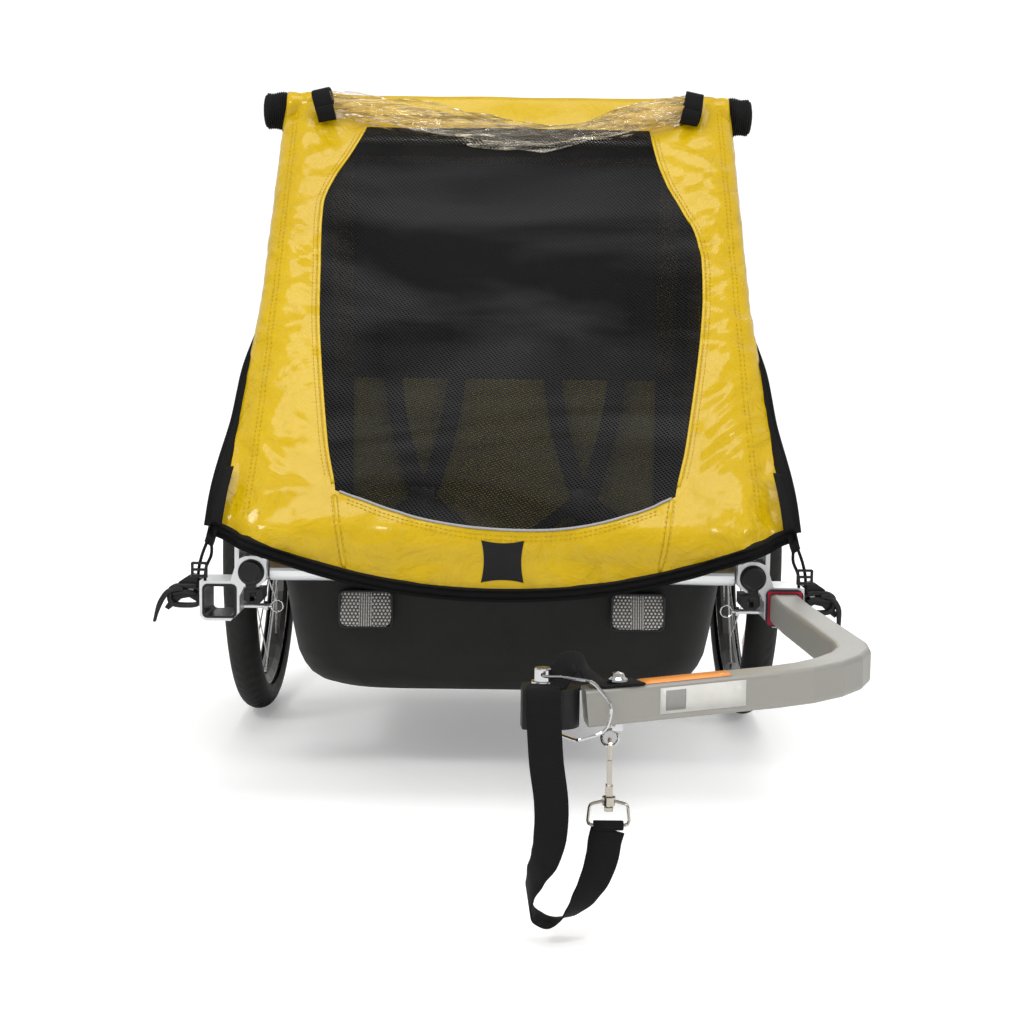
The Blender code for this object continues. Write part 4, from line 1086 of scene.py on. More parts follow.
for label, side in SIDES:
    wall = walls[side]
    low = [section[0] + vec(side * 0.0010, 0, -0.001) for section in wall[::2]]
    ribbon(f"side_hem_binding_{label}", resample(low, 0.012), HEM_TAPE, up=AXIS_Z)
    loop = [wall[i][5] for i in range(window_front, window_rear + 1, 2)]
    loop += [wall[window_rear][j] for j in range(6, 14)]
    loop += [wall[i][14] for i in range(window_rear, window_front - 1, -2)]
    loop += [wall[window_front][j] for j in range(13, 5, -1)]
    loop = [p + AXIS_X * side * 0.0016 for p in loop]
    ribbon(f"side_window_binding_{label}", loop, WINDOW_TAPE, up=AXIS_X * side, closed=True)
    ridge = [section[-3] + vec(side * 0.0010, 0, 0.0010) for section in wall[slope_tape:]]
    stitches(f"roof_seam_stitch_{label}", ridge, vec(side * 0.5, 0, 0.8).normalized(), LONG_STITCH)
REAR_UP = vec(0, 0.97, 0.22)
hem = [p + vec(0, 0.002, -0.001) for p in top_rows[-1]]
ribbon("rear_hem_binding", resample(hem, 0.012), HEM_TAPE, up=AXIS_Z)
loop = rectangle(top_rows, rear_first, rear_first + 4, 6, 22)
loop = [p + vec(0, 0.0024, 0.0006) for p in loop]
ribbon("rear_window_binding", loop, WINDOW_TAPE, up=REAR_UP, closed=True)
# grey tape across the black rear panel, and two red reflectors
tape = [p + vec(0, 0.0022, -0.02) for p in top_rows[rear_first + 6][1:28]]
ribbon("rear_reflective_tape", tape, flat(0.0200, 0.0010), PIPING, up=REAR_UP)
for label, side in SIDES:
    x, y, z = side * 0.215, 0.3755, 0.404
    squash(rounded_box(f"rear_reflector_{label}", spot(x - 0.030, y, z - 0.021),
                       spot(x + 0.030, y + 0.0065, z + 0.021), RED, 0.0035))

# =============================================================== roof's front edge


def header_sleeve():
    """The yellow sleeve over the roof's front edge."""
    half = 0.3085
    rows = []
    for i in range(61):
        x = lerp(-half, half, i / 60)
        sag = -0.015 * (1 - (x / half) ** 4)
        mid = spot(x, -0.0660, HEAD_Z - 0.0190 + sag)
        row = []
        for k in range(16):
            y, z = math.cos(math.tau * k / 16), math.sin(math.tau * k / 16)
            radius = 0.0200 + 0.0012 * ripple(x * 30, y * 1.4, z * 1.4)
            row.append(mid + vec(0, y * radius, z * radius))
        rows.append(row)
    header = sheet("header_sleeve", rows, YELLOW, "yellow_fabric", closed=True)
    thicken(header, 0.0010)
    squash(header)


def pad_wobble(turn, radius, height):
    return 0.0013 * ripple(math.cos(turn) * 2.2, math.sin(turn) * 2.2, height * 90)


def corner_pad(label, side):
    """Ribbed foam roll at the end of the header."""
    node = f"corner_pad_{label}"
    mid = centre(node)
    profile = [(0.0, 0.0), (0.0225, 0.0)]
    for k in range(46):
        height = 0.0008 + 0.0345 * k / 45
        swell = (0.0252 + 0.0012 * math.sin(height / 0.0345 * math.pi * 2.2)
                 - (0.006 * smoothstep(0.028, 0.036, height) ** 2))
        profile.append((swell + 0.0010 * math.cos(height / 0.0031 * math.tau), height))
    profile += [(0.0140, 0.0365), (0.0, 0.0372)]
    pad = lathe(node + "_foam", profile, vec(side * 0.3088, mid.y, mid.z - 0.001),
                vec(side, 0, 0), FOAM, "frame", 44, wobble=pad_wobble, angle=70)
    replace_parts(pad, node)
    squash(pad)


header_sleeve()
for label, side in SIDES:
    corner_pad(label, side)

# the rolled front film's centre line (x, z) and radius (x, radius)
ROLL = [(-0.2500, 0.8660), (-0.2050, 0.8590), (-0.140, 0.8470), (-0.080, 0.8360),
        (-0.010, 0.8250), (0.045, 0.8190), (0.085, 0.8240), (0.110, 0.8300), (0.150, 0.8400),
        (0.200, 0.8560), (0.2560, 0.8680)]
ROLL_RADIUS = [(-0.26, 0.0160), (-0.20, 0.0200), (-0.12, 0.0240), (-0.04, 0.0220), (0.03, 0.0190),
               (0.085, 0.0140), (0.112, 0.0130), (0.150, 0.0210), (0.190, 0.0240),
               (0.235, 0.0200), (0.27, 0.0160)]


def roll_centre(x):
    z = curve(ROLL, x)
    y = FOOT_Y + (z - 0.004 - FOOT_Z) / (HEAD_Z - FOOT_Z) * (HEAD_Y - FOOT_Y)
    return spot(x, y, z) + vec(0, -0.0160, 0.0)


def rolled_film():
    """Two crumpled layers of clear film, one inside the other."""
    mesh = bmesh.new()
    for layer, (share, turn) in enumerate(((1.0, 0.0), (0.66, 1.9))):
        rows = []
        for i in range(131):
            x = lerp(-0.262, 0.266, i / 130)
            mid = roll_centre(x)
            base = curve(ROLL_RADIUS, x) * share
            row = []
            for k in range(26):
                a = math.tau * k / 26
                fold = ripple(x * 9 + layer * 9, math.cos(a + x * 9) * 1.5,
                              math.sin(a + x * 9) * 1.5 + layer)
                ridge = 1 - abs(ripple(x * 7 + 5, math.cos(a - x * 13) * 2.6,
                                       math.sin(a - x * 13) * 2.6 + layer * 3))
                r = base * (0.90 + 0.34 * fold + 0.16 * (ridge - 0.8))
                row.append(mid + vec(0, math.cos(a + turn) * r * 0.82,
                                     math.sin(a + turn) * r * 1.06))
            rows.append(row)
        grid(mesh, rows, closed=True)
    film = build("rolled_clear_film", mesh, FILM)
    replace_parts(film, "rain_window_roll")
    squash(film)


def roll_strap(label, side):
    """Strap round the roll's end, its hanging tail, and the sleeve's gathers beside it."""
    mid = roll_centre(side * 0.2535)
    ring = []
    for k in range(28):
        a = math.tau * k / 28
        ring.append(mid + vec(0, math.cos(a) * 0.0205, math.sin(a) * 0.0205 - 0.0015)
                    + AXIS_X * (side * 0.0042 * math.sin(a) + 0.0010 * math.sin(a * 2)))
    ribbon(f"roll_strap_{label}", ring, flat(0.0250, 0.0024), WEB, around=mid, closed=True)
    tail = [mid + vec(-side * 0.002, -0.0218, -0.006), mid + vec(-side * 0.004, -0.0215, -0.015),
            mid + vec(-side * 0.006, -0.0160, -0.0255)]
    ribbon(f"roll_strap_tail_{label}", resample(tail, 0.003), flat(0.0245, 0.0022), WEB,
           up=vec(0, -1, 0.1))
    collar = [spot(side * (0.272 + 0.0045 * k), -0.0700, HEAD_Z - 0.0178) for k in range(9)]
    ribbon(f"sleeve_gather_{label}", collar, oval(0.0445, 0.0440, 22), YELLOW, "yellow_fabric",
           up=AXIS_Z, scale=lambda q: 1.0 + 0.035 * math.sin(q * math.pi * 3.2))


rolled_film()
for label, side in SIDES:
    roll_strap(label, side)

# =============================================================== cabin: seat, harnesses, bars
SEAT_PAN = [(0.196, -0.094), (0.190, -0.050), (0.184, 0.020), (0.186, 0.060)]  # z, y
SEAT_BACK = [(0.215, 0.082), (0.33, 0.104), (0.45, 0.124), (0.56, 0.140), (0.69, 0.146)]  # z, y


def seat_y(z):
    return curve([(0.19, 0.060), *SEAT_BACK, (0.82, 0.141)], z)


def sling_seat():
    """One quilted sheet, sagging under each of two places."""
    profile = SEAT_PAN + SEAT_BACK + [(0.815, 0.141)]
    spine = resample([spot(0, y, z) for z, y in profile], 0.010)
    rows = []
    for i, point in enumerate(spine):
        q = i / (len(spine) - 1)
        out = vec(0, -0.98, 0.2) if point.z > 0.21 else vec(0, -0.15, 0.98)
        row = []
        for k in range(49):
            u = k / 48 * 2 - 1
            x = u * lerp(0.228, 0.236, q)
            dip = -0.010 * (1 - (abs(abs(u) - 0.5) * 2) ** 2) * (1 if 0.05 < q else 0.4)
            quilt = (0.0022 * abs(math.sin(q * math.pi * 16)) * smoothstep(0.98, 0.9, abs(u))
                     * smoothstep(0.03, 0.08, abs(u)))
            crease = 0.0018 * ripple(x * 20, q * 18, 3)
            row.append(point + AXIS_X * x + out * (dip + quilt + crease))
        rows.append(row)
    seat = sheet("sling_seat", rows, SEAT, "sling_fabric")
    thicken(seat, 0.0050)
    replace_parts(seat, "seat_sling")
    squash(seat)
    for label, row in (("front", rows[0]), ("top", rows[-1])):
        edge = [p + vec(0, -0.003, 0.001) for p in row[::12]]
        ribbon(f"seat_{label}_binding", resample(edge, 0.02), oval(0.0085, 0.0085, 8),
               keep=SEAT_KEEP)


SHOULDER = ((0.640, 0.052), (0.585, 0.054), (0.50, 0.050), (0.42, 0.038), (0.36, 0.022),
            (0.322, 0.010))  # z, distance from the place's middle
LAP = ((0.104, 0.078, 0.236), (0.070, 0.050, 0.262), (0.035, 0.040, 0.288),
       (0.016, 0.050, 0.302))  # distance from the place's middle, y, z
CROTCH = ((-0.020, 0.203), (0.018, 0.216), (0.046, 0.250), (0.056, 0.285))  # y, z


def harness(label, side):
    mid = side * 0.122

    def strap(name, path, step, section, up):
        ribbon(name, resample(path, step), section, WEB, keep=SEAT_KEEP, up=up)

    for k, hand in enumerate((-1, 1)):
        path = [spot(mid + hand * off, seat_y(z) - 0.014 - 0.012 * math.sin((0.64 - z) * 9), z)
                for z, off in SHOULDER]
        strap(f"shoulder_strap_{label}_{k}", path, 0.010, flat(0.0270, 0.0030), vec(0, -1, 0.1))
        path = [spot(mid + hand * off, y, z) for off, y, z in LAP]
        strap(f"lap_strap_{label}_{k}", path, 0.008, flat(0.0250, 0.0026), vec(0, -0.6, 0.8))
    path = [spot(mid, y, z) for y, z in CROTCH]
    strap(f"crotch_strap_{label}", path, 0.008, flat(0.0250, 0.0028), vec(0, -0.8, 0.5))
    buckle = rounded_box(f"harness_buckle_{label}", spot(mid - 0.021, 0.040, 0.280),
                         spot(mid + 0.021, 0.056, 0.326), PLASTIC, 0.004)
    button = rounded_box(f"buckle_button_{label}", spot(mid - 0.008, 0.0375, 0.292),
                         spot(mid + 0.008, 0.041, 0.308), SEAL, 0.001)
    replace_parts(buckle, f"harness_{label}")
    squash(buckle)
    squash(button)


def cabin_bar(node, material):
    """A cross tube, with a curved clip and a neck at each end."""
    y = mid_of(node).y
    line = [spot(lerp(-0.283, 0.283, i / 20), y, 0.836) for i in range(21)]
    bar = sweep(node + "_tube", line, oval(0.019, 0.019, 24), material, "aluminium")
    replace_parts(bar, node)
    squash(bar)
    radius, neck_x, half = 0.0140, 0.281, 0.0115
    for label, side in SIDES:
        mid = spot(side * RAIL_X, y, 0.862)
        ring = [spot(side * RAIL_X + radius * math.cos(a), y, 0.862 + radius * math.sin(a))
                for a in (math.radians(200 + 140 * k / 14) for k in range(15))]
        ribbon(f"{node}_clip_{label}", ring, flat(0.0230, 0.0050), PLASTIC, "black_plastic",
               around=mid)
        squash(rounded_box(f"{node}_neck_{label}", spot(side * neck_x - half, y - half, 0.8255),
                           spot(side * neck_x + half, y + half, 0.8480), PLASTIC, 0.003))


sling_seat()
for label, side in SIDES:
    harness(label, side)
cabin_bar("roof_bar", ALU_RAIL)
cabin_bar("seat_back_bar", PLASTIC)

# =============================================================== wheels
WHEEL_Z = centre("rim_left").z
TYRE_RADIUS = 0.0218  # of the tyre's own section
BLOCKS = 72


def tyre_profile():
    half = []
    for k in range(15):
        q = math.radians(90 - 126 * k / 14)
        half.append((WHEEL_Z - 0.0006 - TYRE_RADIUS + TYRE_RADIUS * math.sin(q),
                     TYRE_RADIUS * math.cos(q)))
    half += [(0.2215, 0.0150), (0.2168, 0.0128)]
    profile = half[::-1] + [(r, -h) for r, h in half[1:]] + [(0.2150, -0.0100), (0.2150, 0.0100)]
    return profile + profile[:1]


def tread(turn, radius, height):
    """Centre rib, slanted shoulder blocks and fine side ribs."""
    off = abs(height)
    if radius < 0.2225 or radius > 0.2471 or off < 0.0035:
        return 0.0
    if off < 0.0058:
        return -0.0013
    block = turn / math.tau * BLOCKS + (0.28 if height > 0 else 0.0)
    if off < 0.0150:
        return -0.0014 if (block + off * 34) % 1.0 < 0.30 else 0.0
    if off < 0.0188:
        return -0.0009 if block % 1.0 < 0.45 else 0.0
    return -0.0003 if (radius * 1000) % 3.0 < 1.2 else 0.0


REFLECTOR = ((0.150, -0.0065), (0.150, 0.0065), (0.152, 0.0082), (0.178, 0.0082),
             (0.180, 0.0065), (0.180, -0.0065), (0.178, -0.0082), (0.152, -0.0082))  # radius, x


def wheel(label):
    body = f"wheel_{label}"
    mid = centre(f"rim_{label}")
    tyre = lathe(f"tyre_{label}_tread", tyre_profile(), mid, AXIS_X, TYRE, body, 288,
                 wobble=tread, angle=50)
    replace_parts(tyre, f"tyre_{label}")

    mesh = bmesh.new()
    for k in range(20):
        turn = math.tau * k / 20
        out = vec(0, math.cos(turn), math.sin(turn))
        lean = vec(0.0026 if k % 2 else -0.0026, 0, 0)
        points = [mid + lean + out * r for r in (0.1905, 0.1935, 0.1968, 0.1985)]
        tube(mesh, points, oval(0.0036, 0.0036, 8), up=AXIS_X, scale=lambda q: 0.72 + 0.28 * q)
    build(f"spoke_nipples_{label}", mesh, NICKEL, body)

    turn = 0.16
    valve = [mid + vec(0, r * math.sin(turn), r * math.cos(turn)) for r in (0.1990, 0.165)]
    sweep(f"valve_{label}", resample(valve, 0.004), oval(0.0078, 0.0078, 12), RUBBER, "rubber",
          body, up=AXIS_X, scale=lambda q: 0.72 if q > 0.7 else 1.0)

    # pale bands on the rim's two flanks
    for end, sign in (("in", -1), ("out", 1)):
        low, high = sign * 0.0122 - sign * 0.0006, sign * 0.0122 + sign * 0.0003
        band = [(0.2085, low), (0.2172, low), (0.2172, high), (0.2085, high), (0.2085, low)]
        lathe(f"rim_band_{label}_{end}", band, mid, AXIS_X, ALU_RAIL, body, 120)

    # curved amber prism bar near the rim
    rows = []
    for k in range(15):
        turn = math.radians(-133) + math.radians(-11 + 22 * k / 14)
        out = vec(0, math.cos(turn), math.sin(turn))
        rows.append([mid + out * r + AXIS_X * x for r, x in REFLECTOR])
    sheet(f"spoke_reflector_{label}", rows, AMBER, "reflector", body, ends=True, recalc=True,
          angle=40, closed=True)


for label, _ in SIDES:
    wheel(label)

# =============================================================== tow arm labels
ARM_HALF = 0.0332 / 2
ARM_RISE = 0.025
PIN_X, PIN_Y, HITCH_Z = mid_of("hitch_pin").x, mid_of("hitch_pin").y, mid_of("hitch_coupler").z
BEND = spot(centre("receiver_gasket").x + 0.0105, -0.965, HITCH_Z + ARM_RISE)
ARM_ALONG = (spot(PIN_X + 0.0375, PIN_Y, HITCH_Z) - BEND).normalized()
ARM_FRONT = vec(ARM_ALONG.y, -ARM_ALONG.x, 0)
if ARM_FRONT.y > 0:
    ARM_FRONT = -ARM_FRONT


def arm_plate(name, span, edges, material, lift, top=False):
    """A thin label on the arm's front or top face.

    span is the two distances from the arm's outer bend, edges the two across the face.
    """
    out, reach, across = ((AXIS_Z, ARM_HALF * 1.0046, ARM_FRONT) if top
                          else (ARM_FRONT, ARM_HALF, AXIS_Z))
    rows = [[BEND + ARM_ALONG * lerp(*span, k / 8) + out * (reach + lift) + across * edge
             for edge in edges] for k in range(9)]
    plate = sheet(name, rows, material, "arm_paint", "tow_arm", recalc=True)
    thicken(plate, 0.0002, 0.0, "sheet")


arm_plate("label_pale", (0.122, 0.199), (-0.0105, 0.0128), LABEL, lift=0.0003)
arm_plate("label_tone", (0.176, 0.194), (-0.0078, 0.0102), DARK_LABEL, lift=0.00055)
arm_plate("label_orange_edge", (0.134, 0.214), (-0.0125, 0.0125), STRIPE, lift=0.0003, top=True)

# =============================================================== safety strap
# x, y, z, turn of the width about Z in degrees, lean of its rear edge
STRAP_AT_BOLT = [
    (0.0180, 0.001, 0.0013, 90, 0), (0.0140, 0, 0.0010, 90, 0), (0, 0, 0.0001, 90, 0),
    (-0.0140, 0, -0.0006, 90, 0.05), (-0.0260, 0.003, 0.0060, 90, 0.35),
]
STRAP_AT_PIN = [
    (0.0330, 0.007, 0.0365, 96, 0.62), (0.0235, 0.006, 0.0375, 108, 0.55),
    (0.0150, 0.003, 0.0280, 132, 0.25), (0.0070, -0.003, 0.0202, 156, 0.05),
    (0.0005, -0.0120, 0.0192, 176, 0), (0, -0.0215, 0.0182, 180, 0),
    (0, -0.0262, 0.0115, 180, 0), (0, -0.0275, 0.0010, 180, 0),
    (0.0012, -0.0282, -0.0150, 180, 0), (0.0035, -0.0292, -0.0450, 178, 0),
    (0.0080, -0.0300, -0.0780, 172, 0), (0.0080, -0.0300, -0.1050, 162, 0),
    (0.0040, -0.0280, -0.1270, 144, 0), (-0.0040, -0.0235, -0.1450, 122, 0),
    (-0.0090, -0.0180, -0.1610, 104, 0), (-0.0095, -0.0130, -0.1750, 92, 0),
    (-0.0050, -0.0095, -0.1870, 82, 0), (0.0060, -0.0070, -0.1935, 72, 0),
    (0.0180, -0.0055, -0.1920, 60, 0), (0.0300, -0.0045, -0.1840, 46, 0),
    (0.0410, -0.0030, -0.1705, 32, 0), (0.0500, -0.0015, -0.1540, 20, 0),
    (0.0555, 0, -0.1360, 10, 0), (0.0575, 0.001, -0.1220, 4, 0),
]
STRAP_STEPS = 5


def safety_strap():
    """Webbing from the bolt, over and down past the hitch pin, up to the snap hook's swivel."""
    bolt_y = centre("strap_bolt").y - AXLE
    bolt = (hi_of("strap_bolt").x - 0.0095, bolt_y, hi_of("strap_bolt").z - 0.0103)
    stations = []
    for (x0, y0, z0), offsets in ((bolt, STRAP_AT_BOLT), ((PIN_X, PIN_Y, HITCH_Z), STRAP_AT_PIN)):
        stations += [(spot(x0 + x, y0 + y, z0 + z), turn, lean)
                     for x, y, z, turn, lean in offsets]
    end = spot(mid_of("snap_hook").x, bolt_y, lo_of("snap_swivel").z - 0.0015)
    stations.append((end, 0, 0))
    points, turns, leans = zip(*stations)

    frames = []
    for i in range(len(points) - 1):
        for k in range(STRAP_STEPS):
            t = k / STRAP_STEPS
            a = math.radians(lerp(turns[i], turns[i + 1], smoothstep(0, 1, t)))
            width = vec(math.cos(a), math.sin(a), lerp(leans[i], leans[i + 1], t)).normalized()
            frames.append((spline(points, i, t), width))
    frames.append((end, vec(1, 0, 0)))

    rows = []
    for i, (point, width) in enumerate(frames):
        behind, ahead = frames[max(0, i - 1)][0], frames[min(len(frames) - 1, i + 1)][0]
        along = (ahead - behind).normalized()
        width = (width - along * width.dot(along)).normalized()
        out = width.cross(along)
        rows.append([point + width * x + out * y for x, y in flat(0.0304, 0.0020)])
    strap = sheet("safety_strap_webbing", rows, WEB, "webbing", None, ends=True, recalc=True,
                  closed=True)
    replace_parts(strap, "safety_strap")
    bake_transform(strap)


def strap_end_loop():
    """The strap's sewn end round the swivel's bow."""
    bow = centre("snap_swivel")
    mid = vec(bow.x, bow.y, Vector(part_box("snap_swivel")[0]).z + 0.0016)
    ring = [mid + vec(0, math.sin(a) * 0.0036, math.cos(a) * 0.0036 - 0.0004)
            for a in (math.tau * k / 16 for k in range(16))]
    sweep("strap_end_loop", ring, flat(0.0270, 0.0018), WEB, "webbing", "snap_swivel",
          around=mid, closed=True)


safety_strap()
strap_end_loop()

# =============================================================== bracket dressing
BOLT_HEAD = [(0.0, 0.0), (0.0058, 0.0), (0.0062, -0.0008), (0.0058, -0.0022), (0.0044, -0.0030),
             (0.0026, -0.0031), (0.0024, -0.0020), (0.0, -0.0020)]  # radius, height
PLUG_RIM = [(0.0, 0.0004), (0.0100, 0.0004), (0.0108, 0.0012), (0.0120, 0.0014),
            (0.0132, 0.0008), (0.0138, -0.0004), (0.0138, -0.0012), (0.0, -0.0012)]
for label, side in SIDES:
    x = side * RAIL_X
    for end, y in (("front", -0.515), ("rear", 0.345)):
        rounded_box(f"foot_block_{label}_{end}", spot(x - 0.0118, y - 0.0215, 0.3190),
                    spot(x + 0.0118, y + 0.0205, 0.3290), FOOT, 0.003, f"hoop_{label}")
        lathe(f"foot_bolt_{label}_{end}", BOLT_HEAD, spot(x, y - 0.0212, 0.314), AXIS_Y, CHROME,
              f"hoop_{label}", 24)
    y = Vector(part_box(f"rail_cap_{label}")[0]).y
    lathe(f"rail_plug_rim_{label}", PLUG_RIM, vec(x, y, 0.270), -AXIS_Y, PLASTIC, "frame", 40)

# x, z, width, height of the corner buckle's three bars and two cheeks
BUCKLE_BARS = ((0, 0.0080, 0.0170, 0.0030), (0, 0.0005, 0.0170, 0.0030),
               (0, -0.0070, 0.0170, 0.0034), (-0.0080, 0.0, 0.0030, 0.0180),
               (0.0080, 0.0, 0.0030, 0.0180))


def corner_tension(label, side):
    """Doubled elastic from the cover's corner, a small buckle, and a hooked finger lever."""
    hook = mid_of(f"cover_hook_{label}")
    hook_x = abs(hook.x)

    def by_hook(out, y, up):
        return spot(side * (hook_x + out), y, hook.z + up)

    corner = spot(side * 0.3325, -0.5530, 0.3190)
    buckle = by_hook(-0.0255, -0.5450, 0.0290)
    fold = [corner + vec(-side * 0.002, 0.001, 0.006), corner + vec(side * 0.001, -0.001, -0.008),
            corner.lerp(buckle, 0.35)]
    sweep(f"corner_webbing_{label}", resample(fold, 0.003), flat(0.0120, 0.0020), WEB, "webbing",
          up=vec(side * 0.3, -1, 0.1))
    for k, off in enumerate((-0.0040, 0.0040)):
        cord = [corner.lerp(buckle, 0.22) + vec(off * 0.4, -0.0010, 0),
                corner.lerp(buckle, 0.6) + vec(off * 1.3 - side * 0.001, -0.001, 0.0),
                buckle + vec(off, 0, 0.002),
                by_hook(-0.0220, -0.5360, 0.0090) + vec(off, 0, 0),
                by_hook(-0.0150, -0.5260, 0.0010) + vec(off * 0.7, 0, 0)]
        sweep(f"elastic_{label}_{k}", resample(cord, 0.004), oval(0.0042, 0.0036, 8), WEB,
              "webbing")
    for k, (x, z, wide, high) in enumerate(BUCKLE_BARS):
        mid = buckle + vec(x + side * 0.0030, -0.0035, z)
        half = vec(wide / 2, 0.0022, high / 2)
        rounded_box(f"corner_buckle_{label}_{k}", mid - half, mid + half, PLASTIC, 0.0010,
                    segments=2)
    # lever: a rounded loop on the hook plate, a curved finger and a cross bar
    mid = by_hook(-0.0035, -0.5310, -0.0030)
    loop = []
    for k in range(28):
        x, z = math.cos(math.tau * k / 28), math.sin(math.tau * k / 28)
        loop.append(mid + vec(0.0185 * math.copysign(abs(x) ** 0.62, x), 0,
                              0.0115 * math.copysign(abs(z) ** 0.62, z)))
    section = [(-0.0042, -0.0027), (0.0042, -0.0027), (0.0052, 0.0), (0.0042, 0.0027),
               (-0.0042, 0.0027), (-0.0052, 0.0)]
    sweep(f"lever_loop_{label}", loop, section, around=mid, closed=True)
    reach = 1.0 if side < 0 else 0.30
    finger = [by_hook(-0.001, -0.5330, 0.0050), by_hook(0.0090, -0.5350, 0.0045),
              by_hook(0.0150 + 0.0020 * reach, -0.5360, 0.0010 - 0.003 * (1 - reach)),
              by_hook(0.0180 + 0.0060 * reach, -0.5365, -0.0090),
              by_hook(0.0175 + 0.0110 * reach, -0.5360, -0.0200),
              by_hook(0.0160 + 0.0160 * reach, -0.5350, -0.0330)]
    sweep(f"lever_finger_{label}", resample(finger, 0.003), flat(0.0095, 0.0062, 0.30),
          up=vec(side * 0.6, 0.0, 1.0),
          scale=lambda q: (1.0 - 0.15 * q, 1.0 - 0.45 * smoothstep(0.55, 1.0, q)))
    bar = [by_hook(-0.016, -0.5330, -0.0010), by_hook(-0.004, -0.5350, 0.0020),
           by_hook(0.012, -0.5330, -0.0010)]
    sweep(f"lever_bar_{label}", resample(bar, 0.003), oval(0.0052, 0.0052, 10))


for label, side in SIDES:
    corner_tension(label, side)

# =============================================================== tub and skirt
TUB_LOW, TUB_TOP = lo_of("floor_tub").z, hi_of("floor_tub").z
TUB_WALL = 0.0034
TUB_RINGS = [  # z, half width, front y, rear y, corner radius
    (TUB_TOP, 0.2688, -0.4982, 0.3288, 0.060), (TUB_TOP - 0.0018, 0.2690, -0.4985, 0.3290, 0.060),
    (TUB_TOP - 0.0040, 0.2680, -0.4975, 0.3280, 0.060),
    (TUB_TOP - 0.0042, 0.2640, -0.4880, 0.3190, 0.056),
    (0.2280, 0.2610, -0.4818, 0.3128, 0.058), (0.1900, 0.2560, -0.4745, 0.3045, 0.060),
    (0.1600, 0.2510, -0.4675, 0.2975, 0.062), (0.1560, 0.2498, -0.4660, 0.2960, 0.062),
    (0.1420, 0.2450, -0.4600, 0.2900, 0.066), (0.1290, 0.2385, -0.4515, 0.2815, 0.072),
    (0.1195, 0.2300, -0.4405, 0.2705, 0.078), (0.1138, 0.2195, -0.4280, 0.2580, 0.082),
    (0.1108, 0.2080, -0.4150, 0.2450, 0.086), (TUB_LOW + 0.0044, 0.1950, -0.4010, 0.2310, 0.086),
]
TUB_LIP = [  # the top four rings inside, with the same columns
    (TUB_TOP, 0.2530, -0.4835, 0.3145, 0.054), (TUB_TOP - 0.0020, 0.2527, -0.4832, 0.3142, 0.054),
    (TUB_TOP - 0.0060, 0.2522, -0.4828, 0.3138, 0.054),
    (TUB_TOP - 0.0090, 0.2518, -0.4823, 0.3133, 0.054),
]


def tub_ring(z, half, front, rear, radius, inset=0.0):
    half, front, rear = half - inset, front + inset, rear - inset
    radius = max(0.004, radius - inset)
    corners = ((half - radius, front + radius, -90), (half - radius, rear - radius, 0),
               (-half + radius, rear - radius, 90), (-half + radius, front + radius, 180))
    points = []
    for x, y, start in corners:
        for k in range(11):
            a = math.radians(start + 9 * k)
            points.append(spot(x + radius * math.cos(a), y + radius * math.sin(a), z))
    out = []
    for i, point in enumerate(points):
        ahead = points[(i + 1) % len(points)]
        out.append(point)
        if (ahead - point).length > 0.05:  # a straight side
            out += [point.lerp(ahead, k / 7) for k in range(1, 7)]
    return out


def moulded_tub():
    """One smooth thin-walled tray, with a flange, sloping walls and a shallow step in them."""
    mesh = bmesh.new()
    inner = [tub_ring(*ring) for ring in TUB_LIP]
    for i, (z, *plan) in enumerate(TUB_RINGS[4:], 4):
        inner.append(tub_ring(z + (0.0032 if i > 8 else 0.0), *plan, TUB_WALL))
    outside = grid(mesh, [tub_ring(*ring) for ring in TUB_RINGS], closed=True)
    inside = grid(mesh, inner, closed=True)
    count = len(outside[0])
    for k in range(count):
        j = (k + 1) % count
        mesh.faces.new((outside[0][k], inside[0][k], inside[0][j], outside[0][j]))
    mesh.faces.new(list(reversed(outside[-1])))
    mesh.faces.new(inside[-1])
    recalc_normals(mesh)
    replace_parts(build("moulded_tub", mesh, TUB, angle=50), "floor_tub")


moulded_tub()
SKIRT_YS = (-0.472, -0.30, -0.12, 0.06, 0.20, 0.298)
SKIRT_RADIUS = 0.034


def skirt_ring(z, half, rear):
    """Back along the right side, across the rear, and forward along the left."""
    radius = SKIRT_RADIUS
    turns = [math.radians(15 * k) for k in range(7)]
    inner, start = half - radius, rear - radius
    points = [spot(-half, y, z) for y in SKIRT_YS]
    points += [spot(-inner - radius * math.cos(a), start + radius * math.sin(a), z) for a in turns]
    points += [spot(lerp(-inner, inner, k / 12), rear, z) for k in range(1, 12)]
    points += [spot(inner + radius * math.sin(a), start + radius * math.cos(a), z) for a in turns]
    return points + [spot(half, y, z) for y in reversed(SKIRT_YS)]


def skirt_sheet(name, rows):
    skirt = sheet(name, rows, BLACK_COATED, "webbing")
    thicken(skirt, 0.0009, 0.0)
    return skirt


# inside the rails, from the cover's lower edge down to the tub's rim
rows = []
for k in range(7):
    f = k / 6
    row = []
    for p in skirt_ring(lerp(0.3180, TUB_TOP - 0.0030, f), lerp(0.2890, 0.2500, f ** 0.8),
                        lerp(0.3240, 0.3100, f)):
        corner = smoothstep(0.262, 0.272, abs(p.x)) * smoothstep(0.20 + AXLE, 0.27 + AXLE, p.y)
        p = p + AXIS_Z * 0.0120 * (1 - f) * corner
        row.append(p + vec(0.0016 * ripple(*(p * 19)),
                           0.0016 * ripple(*(p * 23 + vec(4, 0, 0))), 0))
    rows.append(row)
squash(skirt_sheet("cabin_skirt", rows))
for label, side in SIDES:
    outline = ((0.2890, 0.3180), (0.2960, 0.3240), (0.3050, 0.3300))  # x, z
    skirt_sheet(f"cabin_skirt_side_{label}",
                [[spot(side * x, lerp(-0.470, 0.300, k / 20), z) for x, z in outline]
                 for k in range(21)])
